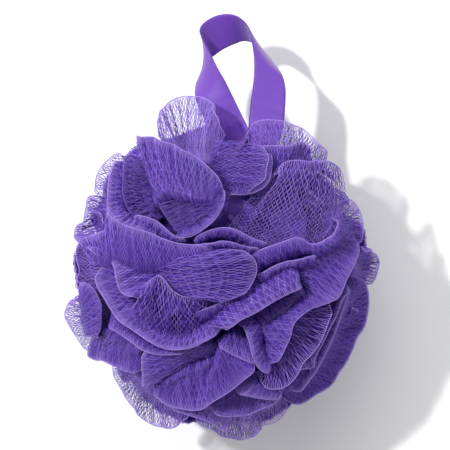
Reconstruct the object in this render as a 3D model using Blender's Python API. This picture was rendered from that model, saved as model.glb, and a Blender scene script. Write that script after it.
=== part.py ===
# Mesh bath pouf: one long tube of knitted net gathered into a ball of folds and
# tied round its middle with a cord, which also holds the ends of a satin ribbon
# loop. It lies as it comes to rest: +Z is up and the loop points along +Y. The
# origin is on the flat spot under the middle of the ball.

import math

import bpy
import numpy as np

MM = 0.001

# The ball of net as it lies
BALL_HALF_WIDTH = 0.066
BALL_HALF_LENGTH = 0.073
BALL_HEIGHT = 0.112

# Two layers of net at every fold, and the pressed folds in the middle and below
FOLD_THICKNESS = 0.0026
RIM_THICKNESS = 0.0016
HEART_HALF_WIDTH = 0.037
HEART_HALF_LENGTH = 0.042
HEART_HALF_HEIGHT = 0.034
PRESSED_HALF_WIDTH = 0.019
PRESSED_HALF_LENGTH = 0.021
PRESSED_HALF_HEIGHT = 0.014
PRESSED_SINK = 0.0018

# The satin ribbon and the cord that ties it in with the net
RIBBON_WIDTH = 0.015
RIBBON_THICKNESS = 0.0006
RIBBON_END_SPACING = 0.0024
RIBBON_END_OVERHANG = 0.003
TIE_CORD_DIAMETER = 0.003

# Room between pieces that touch
CLEARANCE = 0.0003

# How a fold stands: rows from its foot in the heart to its rim, and its lean
FOOT_DEPTH = 0.8
FOLD_ROWS = (0.0, 0.4, 0.72, 1.0)
FOLD_LEAN = 0.22
COLUMNS_PER_POINT = 1.35
FEWEST_COLUMNS = 5
LINE_STEPS = 8

# Folds round the sides and underneath, set out on a spiral. Their reach is a share
# of the ball: the least of their own, in turn, and what the sides leave under the
# seen folds. Tilt and waves change from fold to fold by a step in radians.
HIDDEN_FOLDS = 36
HIDDEN_TOP = 0.16
HIDDEN_BOTTOM = -0.98
HIDDEN_REACH = (1.0, 0.91, 0.96)
SIDE_REACH = 0.86
REACH_GAIN = 0.25
HIDDEN_ROOT_REACH = 0.6
HIDDEN_LENGTH = 0.058
HIDDEN_ROOT_LENGTH = 0.034
HIDDEN_LEAN = 0.009
HIDDEN_WAVE = 0.008
HIDDEN_WAVES = 1.2
HIDDEN_TILT = 55
HIDDEN_COLUMNS = 8
TILT_STEP = 2.3
WAVE_STEP = 1.9
LOWEST_RIM = -0.0004

# The folds seen from above: for each, points along its free rim, then points
# where it sinks in among its neighbours. A point is its place across and along
# the ball, in hundredths of the half width and half length, and its depth below
# the ball's surface in millimetres.
SEEN_FOLDS = {
    "lobeTop": (
        [(-42, 81, 14), (-36, 94, 12), (-19, 100, 12), (-6, 94, 12), (-2, 85, 12), (3, 82, 14)],
        [(-32, 62, 20), (-19, 58, 20), (-6, 62, 20)],
    ),
    "lobeTopRight": (
        [(16, 81, 9), (32, 85, 9), (45, 82, 9), (57, 76, 10), (67, 67, 12), (70, 62, 13)],
        [(23, 62, 15), (40, 59, 15), (58, 52, 16)],
    ),
    "topRightFold": (
        [(23, 70, 4), (41, 70, 3), (56, 70, 6), (59, 66, 8)],
        [(28, 55, 12), (38, 53, 12), (49, 53, 12)],
    ),
    "openPetal": (
        [(31, 49, 6), (40, 59, 2), (55, 61, 1), (64, 62, 2), (72, 60, 4), (79, 54, 5)],
        [(2, 24, 10), (22, 12, 10), (52, 10, 10), (76, 23, 10)],
    ),
    "centreLobe": (
        [(23, 71, 3), (28, 67, 1), (28, 56, 0), (23, 47, 1), (16, 45, 2)],
        [(0, 72, 7), (-4, 60, 7), (4, 46, 7)],
    ),
    "conePetal": (
        [(-58, 75, 3), (-52, 77, 2), (-33, 71, -1), (-15, 62, -2), (-1, 49, -2), (2, 43, -1)],
        [(-42, 36, 8), (-35, 42, 4), (-21, 42, 3), (-5, 41, 3)],
    ),
    "coneInside": (
        [(2, 44, -1), (-2, 32, 0), (-12, 21, 2), (-20, 18, 3), (-28, 19, 5)],
        [(-38, 41, 8), (-38, 32, 9), (-35, 23, 9)],
    ),
    "leftSheer": (
        [(-63, 68, 12), (-77, 58, 12), (-80, 47, 12), (-81, 41, 12)],
        [(-53, 59, 15), (-63, 38, 15)],
    ),
    "hookInside": (
        [(-64, 66, 6), (-72, 49, 5), (-72, 33, 3), (-63, 26, 1), (-44, 20, 1)],
        [(-45, 59, 20), (-43, 42, 22), (-36, 31, 20)],
    ),
    "hookOutside": (
        [(-72, 42, 4), (-72, 33, 3), (-63, 26, 1), (-44, 20, 0), (-26, 14, 1), (1, 10, 4)],
        [(-81, 6, 10), (-55, 0, 9), (-30, -2, 10), (-4, 3, 12)],
    ),
    "leftLobe": (
        [(-79, 41, 12), (-85, 40, 14), (-88, 27, 13), (-94, 19, 13), (-91, 15, 12), (-75, 5, 8)],
        [(-70, 39, 14), (-65, 16, 10)],
    ),
    "band1": (
        [(-18, 17, 3), (-7, 22, 2), (8, 23, 1), (18, 18, 2), (32, 14, 4)],
        [(-16, 13, 12), (2, 18, 12), (18, 13, 12), (27, 10, 12)],
    ),
    "band2": (
        [(-23, 14, 3), (-6, 15, 1), (7, 15, 1), (21, 12, 3), (26, 12, 5)],
        [(-16, 10, 12), (4, 11, 12), (22, 9, 12)],
    ),
    "tongue": (
        [(0, 9, 1), (14, 10, -2), (21, 4, -2), (20, -7, -2), (10, -16, -1), (-5, -17, 1)],
        [(-29, 4, 6), (-39, -1, 6), (-33, -7, 6), (-18, -16, 6)],
    ),
    "lowNet": (
        [(-48, -12, 2), (-42, -4, 0), (-35, -7, 1), (-25, -15, 3), (-10, -18, 5)],
        [(-61, -29, 9), (-39, -39, 9), (-7, -32, 12)],
    ),
    "leftSmooth": (
        [(-70, 6, 5), (-66, -6, 4), (-64, -12, 4), (-53, -16, 5)],
        [(-56, 7, 9), (-41, -1, 9), (-48, -14, 9)],
    ),
    "leftLong": (
        [
            (-80, 3, 8), (-79, -9, 6), (-70, -22, 4), (-54, -36, 1),
            (-35, -45, 0), (-20, -44, 0), (5, -33, 0),
        ],
        [(-66, 3, 13), (-62, -12, 12), (-50, -25, 9), (-32, -38, 5), (3, -26, 5)],
    ),
    "flapBand": (
        [(0, -35, -1), (12, -28, -2), (31, -19, -2), (49, -12, -1), (53, -11, 0)],
        [(-10, -33, 5), (5, -22, 4), (26, -9, 4), (49, -1, 5)],
    ),
    "rightRing": (
        [(19, 9, 2), (36, 15, 1), (49, 18, 1), (55, 14, 3), (65, 16, 3), (74, 25, 4), (75, 31, 5)],
        [(25, -2, 9), (41, 6, 9), (63, 9, 9), (77, 20, 9), (76, 29, 9)],
    ),
    "rightSheet": (
        [
            (89, 20, 6), (85, 4, 4), (77, -12, 2), (66, -20, 0),
            (51, -26, 0), (43, -39, 1), (36, -53, 2), (30, -58, 3),
        ],
        [(83, 20, 10), (63, 8, 8), (53, -7, 8), (50, -18, 8), (32, -32, 8), (26, -54, 10)],
    ),
    "uFold": (
        [(9, -31, 7), (16, -38, 4), (20, -50, 2), (27, -59, 2), (32, -57, 3)],
        [(18, -28, 13), (25, -39, 13), (31, -53, 11)],
    ),
    "hollowPetal": (
        [(23, -55, 2), (16, -62, 2), (8, -68, 2), (-6, -76, 3), (-12, -79, 5)],
        [(14, -51, 6), (0, -44, 5), (-4, -58, 7), (-10, -71, 9)],
    ),
    "stripeFold": (
        [
            (73, -19, 4), (66, -33, 3), (60, -45, 3), (52, -54, 3),
            (42, -67, 4), (28, -68, 5), (23, -63, 6),
        ],
        [(59, -22, 10), (44, -39, 10), (33, -58, 10), (24, -58, 10)],
    ),
    "rightOuter": (
        [
            (84, -3, 12), (93, -12, 12), (93, -25, 12), (86, -40, 12),
            (79, -55, 12), (71, -67, 12), (61, -72, 12), (41, -79, 12),
        ],
        [(82, -9, 15), (69, -36, 15), (55, -58, 15), (37, -70, 15)],
    ),
    "rightLobe": (
        [(89, 17, 11), (96, 9, 11), (101, 5, 11), (101, 1, 11), (93, -10, 11)],
        [(82, 14, 13), (82, -6, 13)],
    ),
    "rightShoulder": (
        [(79, 40, 10), (86, 35, 10), (90, 25, 10), (88, 13, 10)],
        [(70, 35, 14), (75, 16, 14)],
    ),
    "cornerPiece": (
        [(-50, -47, 3), (-50, -54, 2), (-50, -69, 2)],
        [(-19, -42, 8), (1, -44, 11)],
    ),
    "underLong": (
        [(-74, -33, 5), (-58, -41, 4), (-39, -49, 3), (-20, -48, 5)],
        [(-70, -24, 11), (-52, -37, 11), (-21, -43, 11)],
    ),
    "leftLow": (
        [(-86, -50, 12), (-75, -54, 11), (-62, -58, 9), (-50, -61, 8)],
        [(-80, -33, 15), (-66, -39, 13), (-50, -47, 12)],
    ),
    "leftArch": (
        [(-92, -13, 12), (-86, -8, 11), (-79, -15, 9), (-75, -29, 8), (-80, -41, 10)],
        [(-88, -39, 16), (-86, -18, 15)],
    ),
    "leftEar": (
        [
            (-93, -13, 14), (-98, -21, 14), (-101, -27, 14),
            (-97, -35, 14), (-92, -42, 14), (-86, -51, 13),
        ],
        [(-81, -14, 15), (-76, -40, 15)],
    ),
    "bottomLeft": (
        [
            (-75, -54, 14), (-66, -67, 14), (-59, -78, 14), (-51, -87, 14),
            (-42, -92, 14), (-32, -92, 14), (-21, -86, 14), (-18, -82, 13),
        ],
        [(-57, -54, 15), (-40, -71, 15), (-21, -75, 15)],
    ),
    "lowFold": (
        [(-45, -71, 8), (-35, -78, 6), (-24, -80, 6), (-12, -80, 6), (-5, -73, 6)],
        [(-39, -66, 12), (-23, -60, 12), (-5, -51, 12)],
    ),
    "bottomLobe": (
        [(-20, -85, 14), (-6, -93, 14), (5, -99, 14), (18, -99, 14), (22, -97, 14), (27, -90, 13)],
        [(-14, -76, 15), (2, -81, 15), (21, -81, 15)],
    ),
    "lowOpen": (
        [(-9, -82, 9), (9, -85, 8), (23, -81, 8), (38, -75, 8)],
        [(-1, -74, 13), (19, -62, 13), (33, -69, 13)],
    ),
}

# The ribbon's route: points on its two edges, from the end tied on the left, round
# the loop, to the end tied on the right. A point is its place to the right of the
# middle, beyond the far end of the ball and above the middle, in millimetres.
RIBBON_EDGES = [
    ((0.5, -45.0, 6.5), (-0.5, -45.0, -8.0)),
    ((6.0, -27.0, 2.0), (3.0, -27.0, -12.5)),
    ((10.6, -19.0, -4.0), (5.0, -22.0, -17.5)),
    ((11.1, -14.6, -8.0), (0.2, -19.2, -16.5)),
    ((9.0, -10.0, -9.5), (-4.0, -15.0, -13.0)),
    ((5.2, -2.4, -10.0), (-7.8, -7.9, -11.5)),
    ((1.9, 4.3, -10.0), (-10.5, -1.2, -14.0)),
    ((-1.5, 11.0, -10.0), (-10.9, 3.9, -19.0)),
    ((-4.8, 17.7, -11.0), (-9.5, 8.1, -21.4)),
    ((-7.8, 23.6, -13.0), (-7.4, 12.5, -23.0)),
    ((-9.2, 27.2, -15.5), (-4.4, 16.0, -24.4)),
    ((-8.2, 30.1, -18.0), (-2.3, 17.7, -24.2)),
    ((-5.2, 32.5, -19.5), (0.2, 19.5, -24.7)),
    ((-1.5, 34.1, -19.5), (3.2, 21.1, -25.4)),
    ((2.7, 34.5, -18.5), (6.1, 22.4, -26.6)),
    ((6.5, 33.5, -16.5), (9.2, 23.4, -27.2)),
    ((9.7, 31.0, -14.5), (12.8, 22.8, -26.6)),
    ((11.8, 27.8, -12.5), (17.4, 19.4, -23.6)),
    ((12.8, 23.0, -11.0), (22.0, 13.9, -18.6)),
    ((13.6, 16.9, -10.0), (25.8, 8.1, -12.0)),
    ((13.7, 10.2, -9.7), (27.1, 3.0, -10.5)),
    ((13.2, 3.9, -9.7), (27.2, -2.0, -10.0)),
    ((12.4, -2.4, -10.0), (26.8, -6.6, -9.5)),
    ((11.8, -8.7, -10.0), (26.2, -12.1, -9.0)),
    ((11.4, -15.0, -9.5), (24.2, -18.6, -3.5)),
    ((10.6, -24.0, -9.0), (17.5, -26.5, 4.0)),
    ((7.4, -43.0, -8.2), (8.6, -43.5, 6.6)),
]
RIBBON_STEPS = 3

# How finely the round bodies and the skin of the net are drawn
TIE_CORD_SEGMENTS = 32
TIE_CORD_SIDES = 10
ROUND_RINGS = 12
ROUND_SIDES = 20
SKIN_STEP = 0.0009
NETTING_TRIANGLES = 9800

# Colour and roughness of each material
NET = ((0.127, 0.078, 0.347, 1.0), 0.45)
SATIN = ((0.216, 0.099, 0.515, 1.0), 0.35)
CORD = ((0.088, 0.051, 0.262, 1.0), 0.6)

CENTRE = np.array([0.0, 0.0, BALL_HEIGHT / 2])
BALL_HALVES = np.array([BALL_HALF_WIDTH, BALL_HALF_LENGTH, BALL_HEIGHT / 2])
HEART_HALVES = np.array([HEART_HALF_WIDTH, HEART_HALF_LENGTH, HEART_HALF_HEIGHT])
PRESSED_HALVES = np.array([PRESSED_HALF_WIDTH, PRESSED_HALF_LENGTH, PRESSED_HALF_HEIGHT])


def clear_scene():
    for thing in list(bpy.data.objects):
        bpy.data.objects.remove(thing, do_unlink=True)


def new_material(name, colour, roughness):
    material = bpy.data.materials.new(name)
    material.use_nodes = True
    shader = material.node_tree.nodes["Principled BSDF"]
    shader.inputs["Base Color"].default_value = colour
    shader.inputs["Roughness"].default_value = roughness
    shader.inputs["Metallic"].default_value = 0.0
    return material


def new_object(name, points, faces, material=None):
    mesh = bpy.data.meshes.new(name)
    mesh.from_pydata([tuple(point) for point in points], [], faces)
    mesh.update()
    made = bpy.data.objects.new(name, mesh)
    bpy.context.scene.collection.objects.link(made)
    if material:
        mesh.materials.append(material)
    return made


def new_helper(name, points, faces):
    """A solid that only shapes another one."""
    made = new_object(name, points, faces)
    made.hide_render = True
    made.display_type = "WIRE"
    return made


def smooth_line(knots, steps):
    """A curve through the knots, with so many steps from each knot to the next."""
    knots = np.array(knots, float)
    padded = np.vstack([2 * knots[0] - knots[1], knots, 2 * knots[-1] - knots[-2]])
    line = []
    for index in range(len(knots) - 1):
        before, here, there, after = padded[index : index + 4]
        for step in range(steps):
            u = step / steps
            line.append(
                here
                + 0.5 * u * (there - before)
                + 0.5 * u**2 * (2 * before - 5 * here + 4 * there - after)
                + 0.5 * u**3 * (3 * here - 3 * there + after - before)
            )
    line.append(knots[-1])
    return np.array(line)


def even_line(knots, count):
    """The curve through the knots, read at even steps of its length."""
    line = smooth_line(knots, LINE_STEPS)
    lengths = np.linalg.norm(np.diff(line, axis=0), axis=1)
    travelled = np.concatenate([[0.0], np.cumsum(lengths)])
    wanted = np.linspace(0.0, travelled[-1], count)
    return np.column_stack([np.interp(wanted, travelled, line[:, axis]) for axis in range(3)])


def on_ball(place):
    """The point over a place on the ball, at its depth below the surface."""
    across, along, depth = place[0] / 100, place[1] / 100, place[2] * MM
    rise = math.sqrt(max(0.0, 1 - across**2 - along**2))
    return CENTRE + BALL_HALVES * [across, along, rise] - [0.0, 0.0, depth]


def in_heart(points, share):
    """The points drawn towards the centre until they lie inside the heart."""
    outward = points - CENTRE
    reach = np.linalg.norm(outward / HEART_HALVES, axis=1)
    return CENTRE + outward * (share / reach)[:, None]


def sheet_rows(root, rim, crest):
    """Rows of a sheet that starts in the heart, passes its root and bends over its
    crest to its rim: each row is (1-t)^2 root + 2t(1-t) crest + t^2 rim."""
    rows = [in_heart(root, FOOT_DEPTH)]
    for t in FOLD_ROWS:
        rows.append((1 - t) ** 2 * root + 2 * t * (1 - t) * crest + t**2 * rim)
    return np.array(rows)


def thick_sheet(grid):
    """A closed body round a grid of points, thinner along its last row."""
    rows, columns = grid.shape[:2]
    down = np.gradient(grid, axis=0)
    across = np.gradient(grid, axis=1)
    normal = np.cross(across, down)
    normal /= np.linalg.norm(normal, axis=2)[:, :, None]
    half = np.full(rows, FOLD_THICKNESS / 2)
    half[-1] = RIM_THICKNESS / 2
    offset = normal * half[:, None, None]
    points = np.concatenate([(grid + offset).reshape(-1, 3), (grid - offset).reshape(-1, 3)])
    below = rows * columns
    faces = []
    for row in range(rows - 1):
        for column in range(columns - 1):
            a = row * columns + column
            b, c, d = a + 1, a + columns + 1, a + columns
            faces += [(a, b, c), (a, c, d)]
            faces += [(a + below, c + below, b + below), (a + below, d + below, c + below)]
    edge = [column for column in range(columns)]
    edge += [row * columns + columns - 1 for row in range(1, rows)]
    edge += [(rows - 1) * columns + column for column in range(columns - 2, -1, -1)]
    edge += [row * columns for row in range(rows - 2, 0, -1)]
    for here, there in zip(edge, edge[1:] + edge[:1]):
        faces += [(here, here + below, there), (there, here + below, there + below)]
    return points, faces


def seen_fold(rim_places, root_places):
    """A fold seen from above: it rises between its neighbours and leans over to
    its rim, at the rim's height."""
    columns = max(FEWEST_COLUMNS, round(len(rim_places) * COLUMNS_PER_POINT))
    rim = even_line([on_ball(place) for place in rim_places], columns)
    root = even_line([on_ball(place) for place in root_places], columns)
    crest = root + FOLD_LEAN * (rim - root)
    crest[:, 2] = rim[:, 2]
    return sheet_rows(root, rim, crest)


def hidden_fold(index):
    """A fold of the sides or the underside: a wavy rim on the ball round a point of
    a spiral, with its root nearer the centre. Each is turned its own way."""
    share = (index + 0.5) / HIDDEN_FOLDS
    height = HIDDEN_TOP + (HIDDEN_BOTTOM - HIDDEN_TOP) * share
    turn = index * math.pi * (3 - math.sqrt(5))
    level = math.sqrt(1 - height**2)
    outward = np.array([level * math.cos(turn), level * math.sin(turn), height])
    east = np.array([-math.sin(turn), math.cos(turn), 0.0])
    north = np.cross(outward, east)
    tilt = math.radians(HIDDEN_TILT) * math.sin(TILT_STEP * index)
    along = math.cos(tilt) * east + math.sin(tilt) * north
    aside = math.cos(tilt) * north - math.sin(tilt) * east
    lean = HIDDEN_LEAN if index % 2 else -HIDDEN_LEAN
    spread = np.linspace(-0.5, 0.5, HIDDEN_COLUMNS)[:, None]
    wave = HIDDEN_WAVE * np.sin(spread * 2 * math.pi * HIDDEN_WAVES + WAVE_STEP * index)
    rim = outward * BALL_HALVES + spread * HIDDEN_LENGTH * along + (wave + lean) * aside
    root = outward * BALL_HALVES + spread * HIDDEN_ROOT_LENGTH * along - lean * aside
    most = SIDE_REACH + REACH_GAIN * max(0.0, -height)
    reach = min(HIDDEN_REACH[index % len(HIDDEN_REACH)], most)
    rim = pull_to(rim, reach)
    root = pull_to(root, HIDDEN_ROOT_REACH)
    crest = pull_to(root + FOLD_LEAN * (rim - root), reach)
    rows = sheet_rows(root + CENTRE, rim + CENTRE, crest + CENTRE)
    rows[:, :, 2] = np.maximum(rows[:, :, 2], LOWEST_RIM)
    return rows


def pull_to(points, reach):
    """Points round the middle, moved in or out to one share of the ball."""
    share = np.linalg.norm(points / BALL_HALVES, axis=1)
    return points * (reach / share)[:, None]


def ellipsoid(middle, halves, rings, sides):
    """A closed body of rings of points between two poles."""
    points = [middle + halves * [0, 0, 1]]
    for ring in range(1, rings):
        polar = math.pi * ring / rings
        for side in range(sides):
            turn = 2 * math.pi * (side + 0.5 * (ring % 2)) / sides
            out = [math.sin(polar) * math.cos(turn), math.sin(polar) * math.sin(turn), math.cos(polar)]
            points.append(middle + halves * out)
    points.append(middle - halves * [0, 0, 1])
    faces = []
    last = len(points) - 1
    for side in range(sides):
        after = (side + 1) % sides
        faces.append((0, 1 + side, 1 + after))
        faces.append((last, last - sides + after, last - sides + side))
    for ring in range(rings - 2):
        start = 1 + ring * sides
        for side in range(sides):
            after = (side + 1) % sides
            upper, upper_after = start + side, start + after
            lower, lower_after = upper + sides, upper_after + sides
            faces += [(upper, lower, lower_after), (upper, lower_after, upper_after)]
    return points, faces


def waist_radius():
    """The gathered net and the two ribbon ends, as the cord holds them."""
    return math.hypot(RIBBON_WIDTH / 2, (RIBBON_END_SPACING + RIBBON_THICKNESS) / 2)


def tie_ring(extra):
    """The cord's ring round the waist, as a closed body larger by some extra."""
    path = waist_radius() + CLEARANCE + TIE_CORD_DIAMETER / 2
    radius = TIE_CORD_DIAMETER / 2 + extra
    points = []
    for segment in range(TIE_CORD_SEGMENTS):
        turn = 2 * math.pi * segment / TIE_CORD_SEGMENTS
        for side in range(TIE_CORD_SIDES):
            round_cord = 2 * math.pi * side / TIE_CORD_SIDES
            out = path + radius * math.cos(round_cord)
            place = [out * math.sin(turn), radius * math.sin(round_cord), out * math.cos(turn)]
            points.append(CENTRE + place)
    faces = []
    for segment in range(TIE_CORD_SEGMENTS):
        here = segment * TIE_CORD_SIDES
        there = (segment + 1) % TIE_CORD_SEGMENTS * TIE_CORD_SIDES
        for side in range(TIE_CORD_SIDES):
            after = (side + 1) % TIE_CORD_SIDES
            faces.append((here + side, here + after, there + after, there + side))
    return points, faces


def ribbon_stations():
    """Points along the ribbon's middle and the direction across it at each."""
    overhang = -RIBBON_END_OVERHANG / MM
    middle = CENTRE[2] / MM
    half = RIBBON_WIDTH / MM / 2
    aside = RIBBON_END_SPACING / MM / 2
    left_end = ((-aside, overhang, middle + half), (-aside, overhang, middle - half))
    left_tied = ((-aside, -overhang, middle + half), (-aside, -overhang, middle - half))
    right_end = ((aside, overhang, middle - half), (aside, overhang, middle + half))
    right_tied = ((aside, -overhang, middle - half), (aside, -overhang, middle + half))
    route = np.array(RIBBON_EDGES) + [0.0, BALL_HALF_LENGTH / MM, middle]
    pairs = np.array([left_end, left_tied, *route, right_tied, right_end]) * MM
    first = smooth_line(pairs[:, 0], RIBBON_STEPS)
    second = smooth_line(pairs[:, 1], RIBBON_STEPS)
    across = second - first
    across /= np.linalg.norm(across, axis=1)[:, None]
    return (first + second) / 2, across


def ribbon_body(extra):
    """The ribbon as a closed band, larger by some extra on every side."""
    middle, across = ribbon_stations()
    along = np.gradient(middle, axis=0)
    along /= np.linalg.norm(along, axis=1)[:, None]
    if extra:
        middle[0] -= along[0] * extra
        middle[-1] += along[-1] * extra
    upward = np.cross(along, across)
    upward /= np.linalg.norm(upward, axis=1)[:, None]
    wide = across * (RIBBON_WIDTH / 2 + extra)
    thick = upward * (RIBBON_THICKNESS / 2 + extra)
    corners = [middle + wide + thick, middle - wide + thick, middle - wide - thick, middle + wide - thick]
    points = np.stack(corners, axis=1).reshape(-1, 3)
    faces = []
    for station in range(len(middle) - 1):
        here = 4 * station
        for corner in range(4):
            a, b = here + corner, here + (corner + 1) % 4
            faces += [(a, b, b + 4), (a, b + 4, a + 4)]
    end = len(points) - 4
    faces += [(0, 2, 1), (0, 3, 2), (end, end + 1, end + 2), (end, end + 2, end + 3)]
    return points, faces


def face_outward(made):
    """Turns the faces round if the body is inside out."""
    mesh = made.data
    mesh.calc_loop_triangles()
    points = np.array([vertex.co for vertex in mesh.vertices])
    corners = points[[triangle.vertices[:] for triangle in mesh.loop_triangles]]
    if np.linalg.det(corners).sum() < 0:
        mesh.flip_normals()


def boolean(made, operation, others):
    """Joins or cuts with the exact solver and keeps the result as the mesh."""
    tools = bpy.data.collections.new(made.name + "_tools")
    for other in others:
        tools.objects.link(other)
    modifier = made.modifiers.new(operation.lower(), "BOOLEAN")
    modifier.operation = operation
    modifier.operand_type = "COLLECTION"
    modifier.collection = tools
    modifier.solver = "EXACT"
    modifier.use_self = operation == "UNION"
    settle_modifiers(made)
    for other in others:
        bpy.data.objects.remove(other, do_unlink=True)
    bpy.data.collections.remove(tools)


def shells_of(mesh):
    """A shell number for every face; faces that share an edge share a shell."""
    parent = list(range(len(mesh.polygons)))

    def top(face):
        while parent[face] != face:
            parent[face] = parent[parent[face]]
            face = parent[face]
        return face

    by_edge = {}
    for face in mesh.polygons:
        for edge in face.edge_keys:
            by_edge.setdefault(edge, []).append(face.index)
    for sharing in by_edge.values():
        if len(sharing) == 2:
            parent[top(sharing[0])] = top(sharing[1])
    return [top(face) for face in range(len(parent))]


def keep_outer_shell(made):
    """Leaves only the shell with the most faces: the others are closed bubbles
    between crossing folds."""
    mesh = made.data
    shells = shells_of(mesh)
    counts = {shell: shells.count(shell) for shell in set(shells)}
    widest = max(counts, key=counts.get)
    keep = [tuple(face.vertices) for face, shell in zip(mesh.polygons, shells) if shell == widest]
    used = sorted({vertex for face in keep for vertex in face})
    number = {old: new for new, old in enumerate(used)}
    kept = bpy.data.meshes.new(made.name)
    points = [tuple(mesh.vertices[old].co) for old in used]
    kept.from_pydata(points, [], [tuple(number[vertex] for vertex in face) for face in keep])
    kept.materials.append(mesh.materials[0])
    made.data = kept


def settle_modifiers(made):
    """Keeps what the modifiers make as the object's own mesh."""
    bpy.context.view_layer.update()
    graph = bpy.context.evaluated_depsgraph_get()
    mesh = bpy.data.meshes.new_from_object(made.evaluated_get(graph))
    made.modifiers.clear()
    made.data = mesh


def even_out(made, triangles):
    """Makes the joined folds one even skin, then takes out the vertices that
    shape it least, down to a count of triangles."""
    skin = made.modifiers.new("skin", "REMESH")
    skin.mode = "VOXEL"
    skin.voxel_size = SKIN_STEP
    settle_modifiers(made)
    keep_outer_shell(made)
    total = sum(len(face.vertices) - 2 for face in made.data.polygons)
    fewer = made.modifiers.new("fewer", "DECIMATE")
    fewer.ratio = min(1.0, triangles / total)
    fewer.use_collapse_triangulate = True
    settle_modifiers(made)


def build_netting(material):
    points, faces = ellipsoid(CENTRE, HEART_HALVES, ROUND_RINGS, ROUND_SIDES)
    netting = new_object("mesh_netting", points, faces, material)
    face_outward(netting)
    low = CENTRE * [1, 1, 0] + [0, 0, PRESSED_HALF_HEIGHT - PRESSED_SINK]
    bodies = [ellipsoid(low, PRESSED_HALVES, ROUND_RINGS, ROUND_SIDES)]
    for rim, root in SEEN_FOLDS.values():
        bodies.append(thick_sheet(seen_fold(rim, root)))
    for index in range(HIDDEN_FOLDS):
        bodies.append(thick_sheet(hidden_fold(index)))
    helpers = []
    for number, (points, faces) in enumerate(bodies):
        helper = new_helper(f"fold_{number}", points, faces)
        face_outward(helper)
        helpers.append(helper)
    boolean(netting, "UNION", helpers)
    even_out(netting, NETTING_TRIANGLES)
    return netting


def cut_cavity(netting):
    """Room for the cord's ring and the ribbon, and the flat spot below."""
    wide = 2 * BALL_HALF_LENGTH
    corners = [(x, y, z) for x in (-wide, wide) for y in (-wide, wide) for z in (-BALL_HEIGHT, 0.0)]
    sides = [(0, 1, 3, 2), (4, 6, 7, 5), (0, 4, 5, 1), (2, 3, 7, 6), (0, 2, 6, 4), (1, 5, 7, 3)]
    cutters = []
    for name, (points, faces) in (
        ("cord_room", tie_ring(CLEARANCE)),
        ("ribbon_room", ribbon_body(CLEARANCE)),
        ("floor", (corners, sides)),
    ):
        cutter = new_helper(name, points, faces)
        face_outward(cutter)
        cutters.append(cutter)
    boolean(netting, "DIFFERENCE", cutters)
    keep_outer_shell(netting)


def main():
    clear_scene()
    net = new_material("net", *NET)
    satin = new_material("satin", *SATIN)
    cord = new_material("cord", *CORD)
    netting = build_netting(net)
    cut_cavity(netting)
    ribbon = new_object("ribbon_loop", *ribbon_body(0.0), satin)
    tie = new_object("tie_cord", *tie_ring(0.0), cord)
    for made in (ribbon, tie):
        face_outward(made)


main()
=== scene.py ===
import math

import bpy
import numpy as np
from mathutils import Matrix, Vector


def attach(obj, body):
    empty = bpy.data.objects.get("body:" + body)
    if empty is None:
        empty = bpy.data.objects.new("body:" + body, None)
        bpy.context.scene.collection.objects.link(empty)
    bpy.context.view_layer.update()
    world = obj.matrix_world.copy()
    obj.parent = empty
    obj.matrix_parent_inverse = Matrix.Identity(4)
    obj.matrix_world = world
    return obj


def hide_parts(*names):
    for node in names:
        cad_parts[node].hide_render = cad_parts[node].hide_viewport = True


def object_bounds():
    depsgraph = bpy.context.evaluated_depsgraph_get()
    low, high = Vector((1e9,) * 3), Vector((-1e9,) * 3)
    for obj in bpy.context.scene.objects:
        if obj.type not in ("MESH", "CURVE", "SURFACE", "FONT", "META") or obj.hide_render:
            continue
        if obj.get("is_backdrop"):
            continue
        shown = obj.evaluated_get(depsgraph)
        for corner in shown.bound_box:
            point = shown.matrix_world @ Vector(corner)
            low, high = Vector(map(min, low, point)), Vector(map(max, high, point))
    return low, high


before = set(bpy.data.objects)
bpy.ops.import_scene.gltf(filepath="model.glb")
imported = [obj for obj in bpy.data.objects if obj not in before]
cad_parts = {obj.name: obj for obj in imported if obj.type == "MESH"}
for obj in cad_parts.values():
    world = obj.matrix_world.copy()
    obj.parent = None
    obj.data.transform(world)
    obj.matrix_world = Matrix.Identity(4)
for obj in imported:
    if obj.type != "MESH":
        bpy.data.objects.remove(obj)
firstLow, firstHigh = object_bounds()
boxes = [list(firstLow), list(firstHigh)]

# The ball as it lies, in millimetres: half width, half length, half height and middle
ball = dict(halves=np.array([66.0, 73.0, 56.0]), middle=np.array([0.0, 0.0, 56.0]))
dice = np.random.default_rng(11)


# Shader maths: a socket whose arithmetic adds the nodes that work it out
class Value:
    def __init__(self, tree, socket):
        self.tree = tree
        self.socket = socket

    def node(self, kind, settings=None, **inputs):
        made = self.tree.nodes.new(kind)
        for name, value in (settings or {}).items():
            setattr(made, name, value)
        for name, value in inputs.items():
            key = int(name[1:]) if name[0] == "_" else name.replace("_", " ")
            target = made.inputs[key]
            if isinstance(value, Value):
                self.tree.links.new(value.socket, target)
            else:
                target.default_value = value
        return made

    def out(self, kind, settings=None, output=0, **inputs):
        return Value(self.tree, self.node(kind, settings, **inputs).outputs[output])

    def math(self, operation, first, second=0.0):
        return self.out("ShaderNodeMath", dict(operation=operation), _0=first, _1=second)

    def __add__(self, other):
        return self.math("ADD", self, other)

    def __mul__(self, other):
        return self.math("MULTIPLY", self, other)

    def __sub__(self, other):
        return self.math("SUBTRACT", self, other)

    def __rsub__(self, other):
        return self.math("SUBTRACT", other, self)

    __radd__ = __add__
    __rmul__ = __mul__

    def clamp(self, low=0.0, high=1.0):
        return self.math("MINIMUM", self.math("MAXIMUM", self, low), high)

    def mix(self, first, second):
        settings = dict(data_type="RGBA", clamp_factor=True)
        return self.out("ShaderNodeMix", settings, 2, _0=self, _6=first, _7=second)


# A new material, its own node tree as a value and its main shader.
def newMaterial(name):
    material = bpy.data.materials.new(name)
    material.use_nodes = True
    tree = material.node_tree
    shader = tree.nodes["Principled BSDF"]
    return material, Value(tree, None), shader


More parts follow.
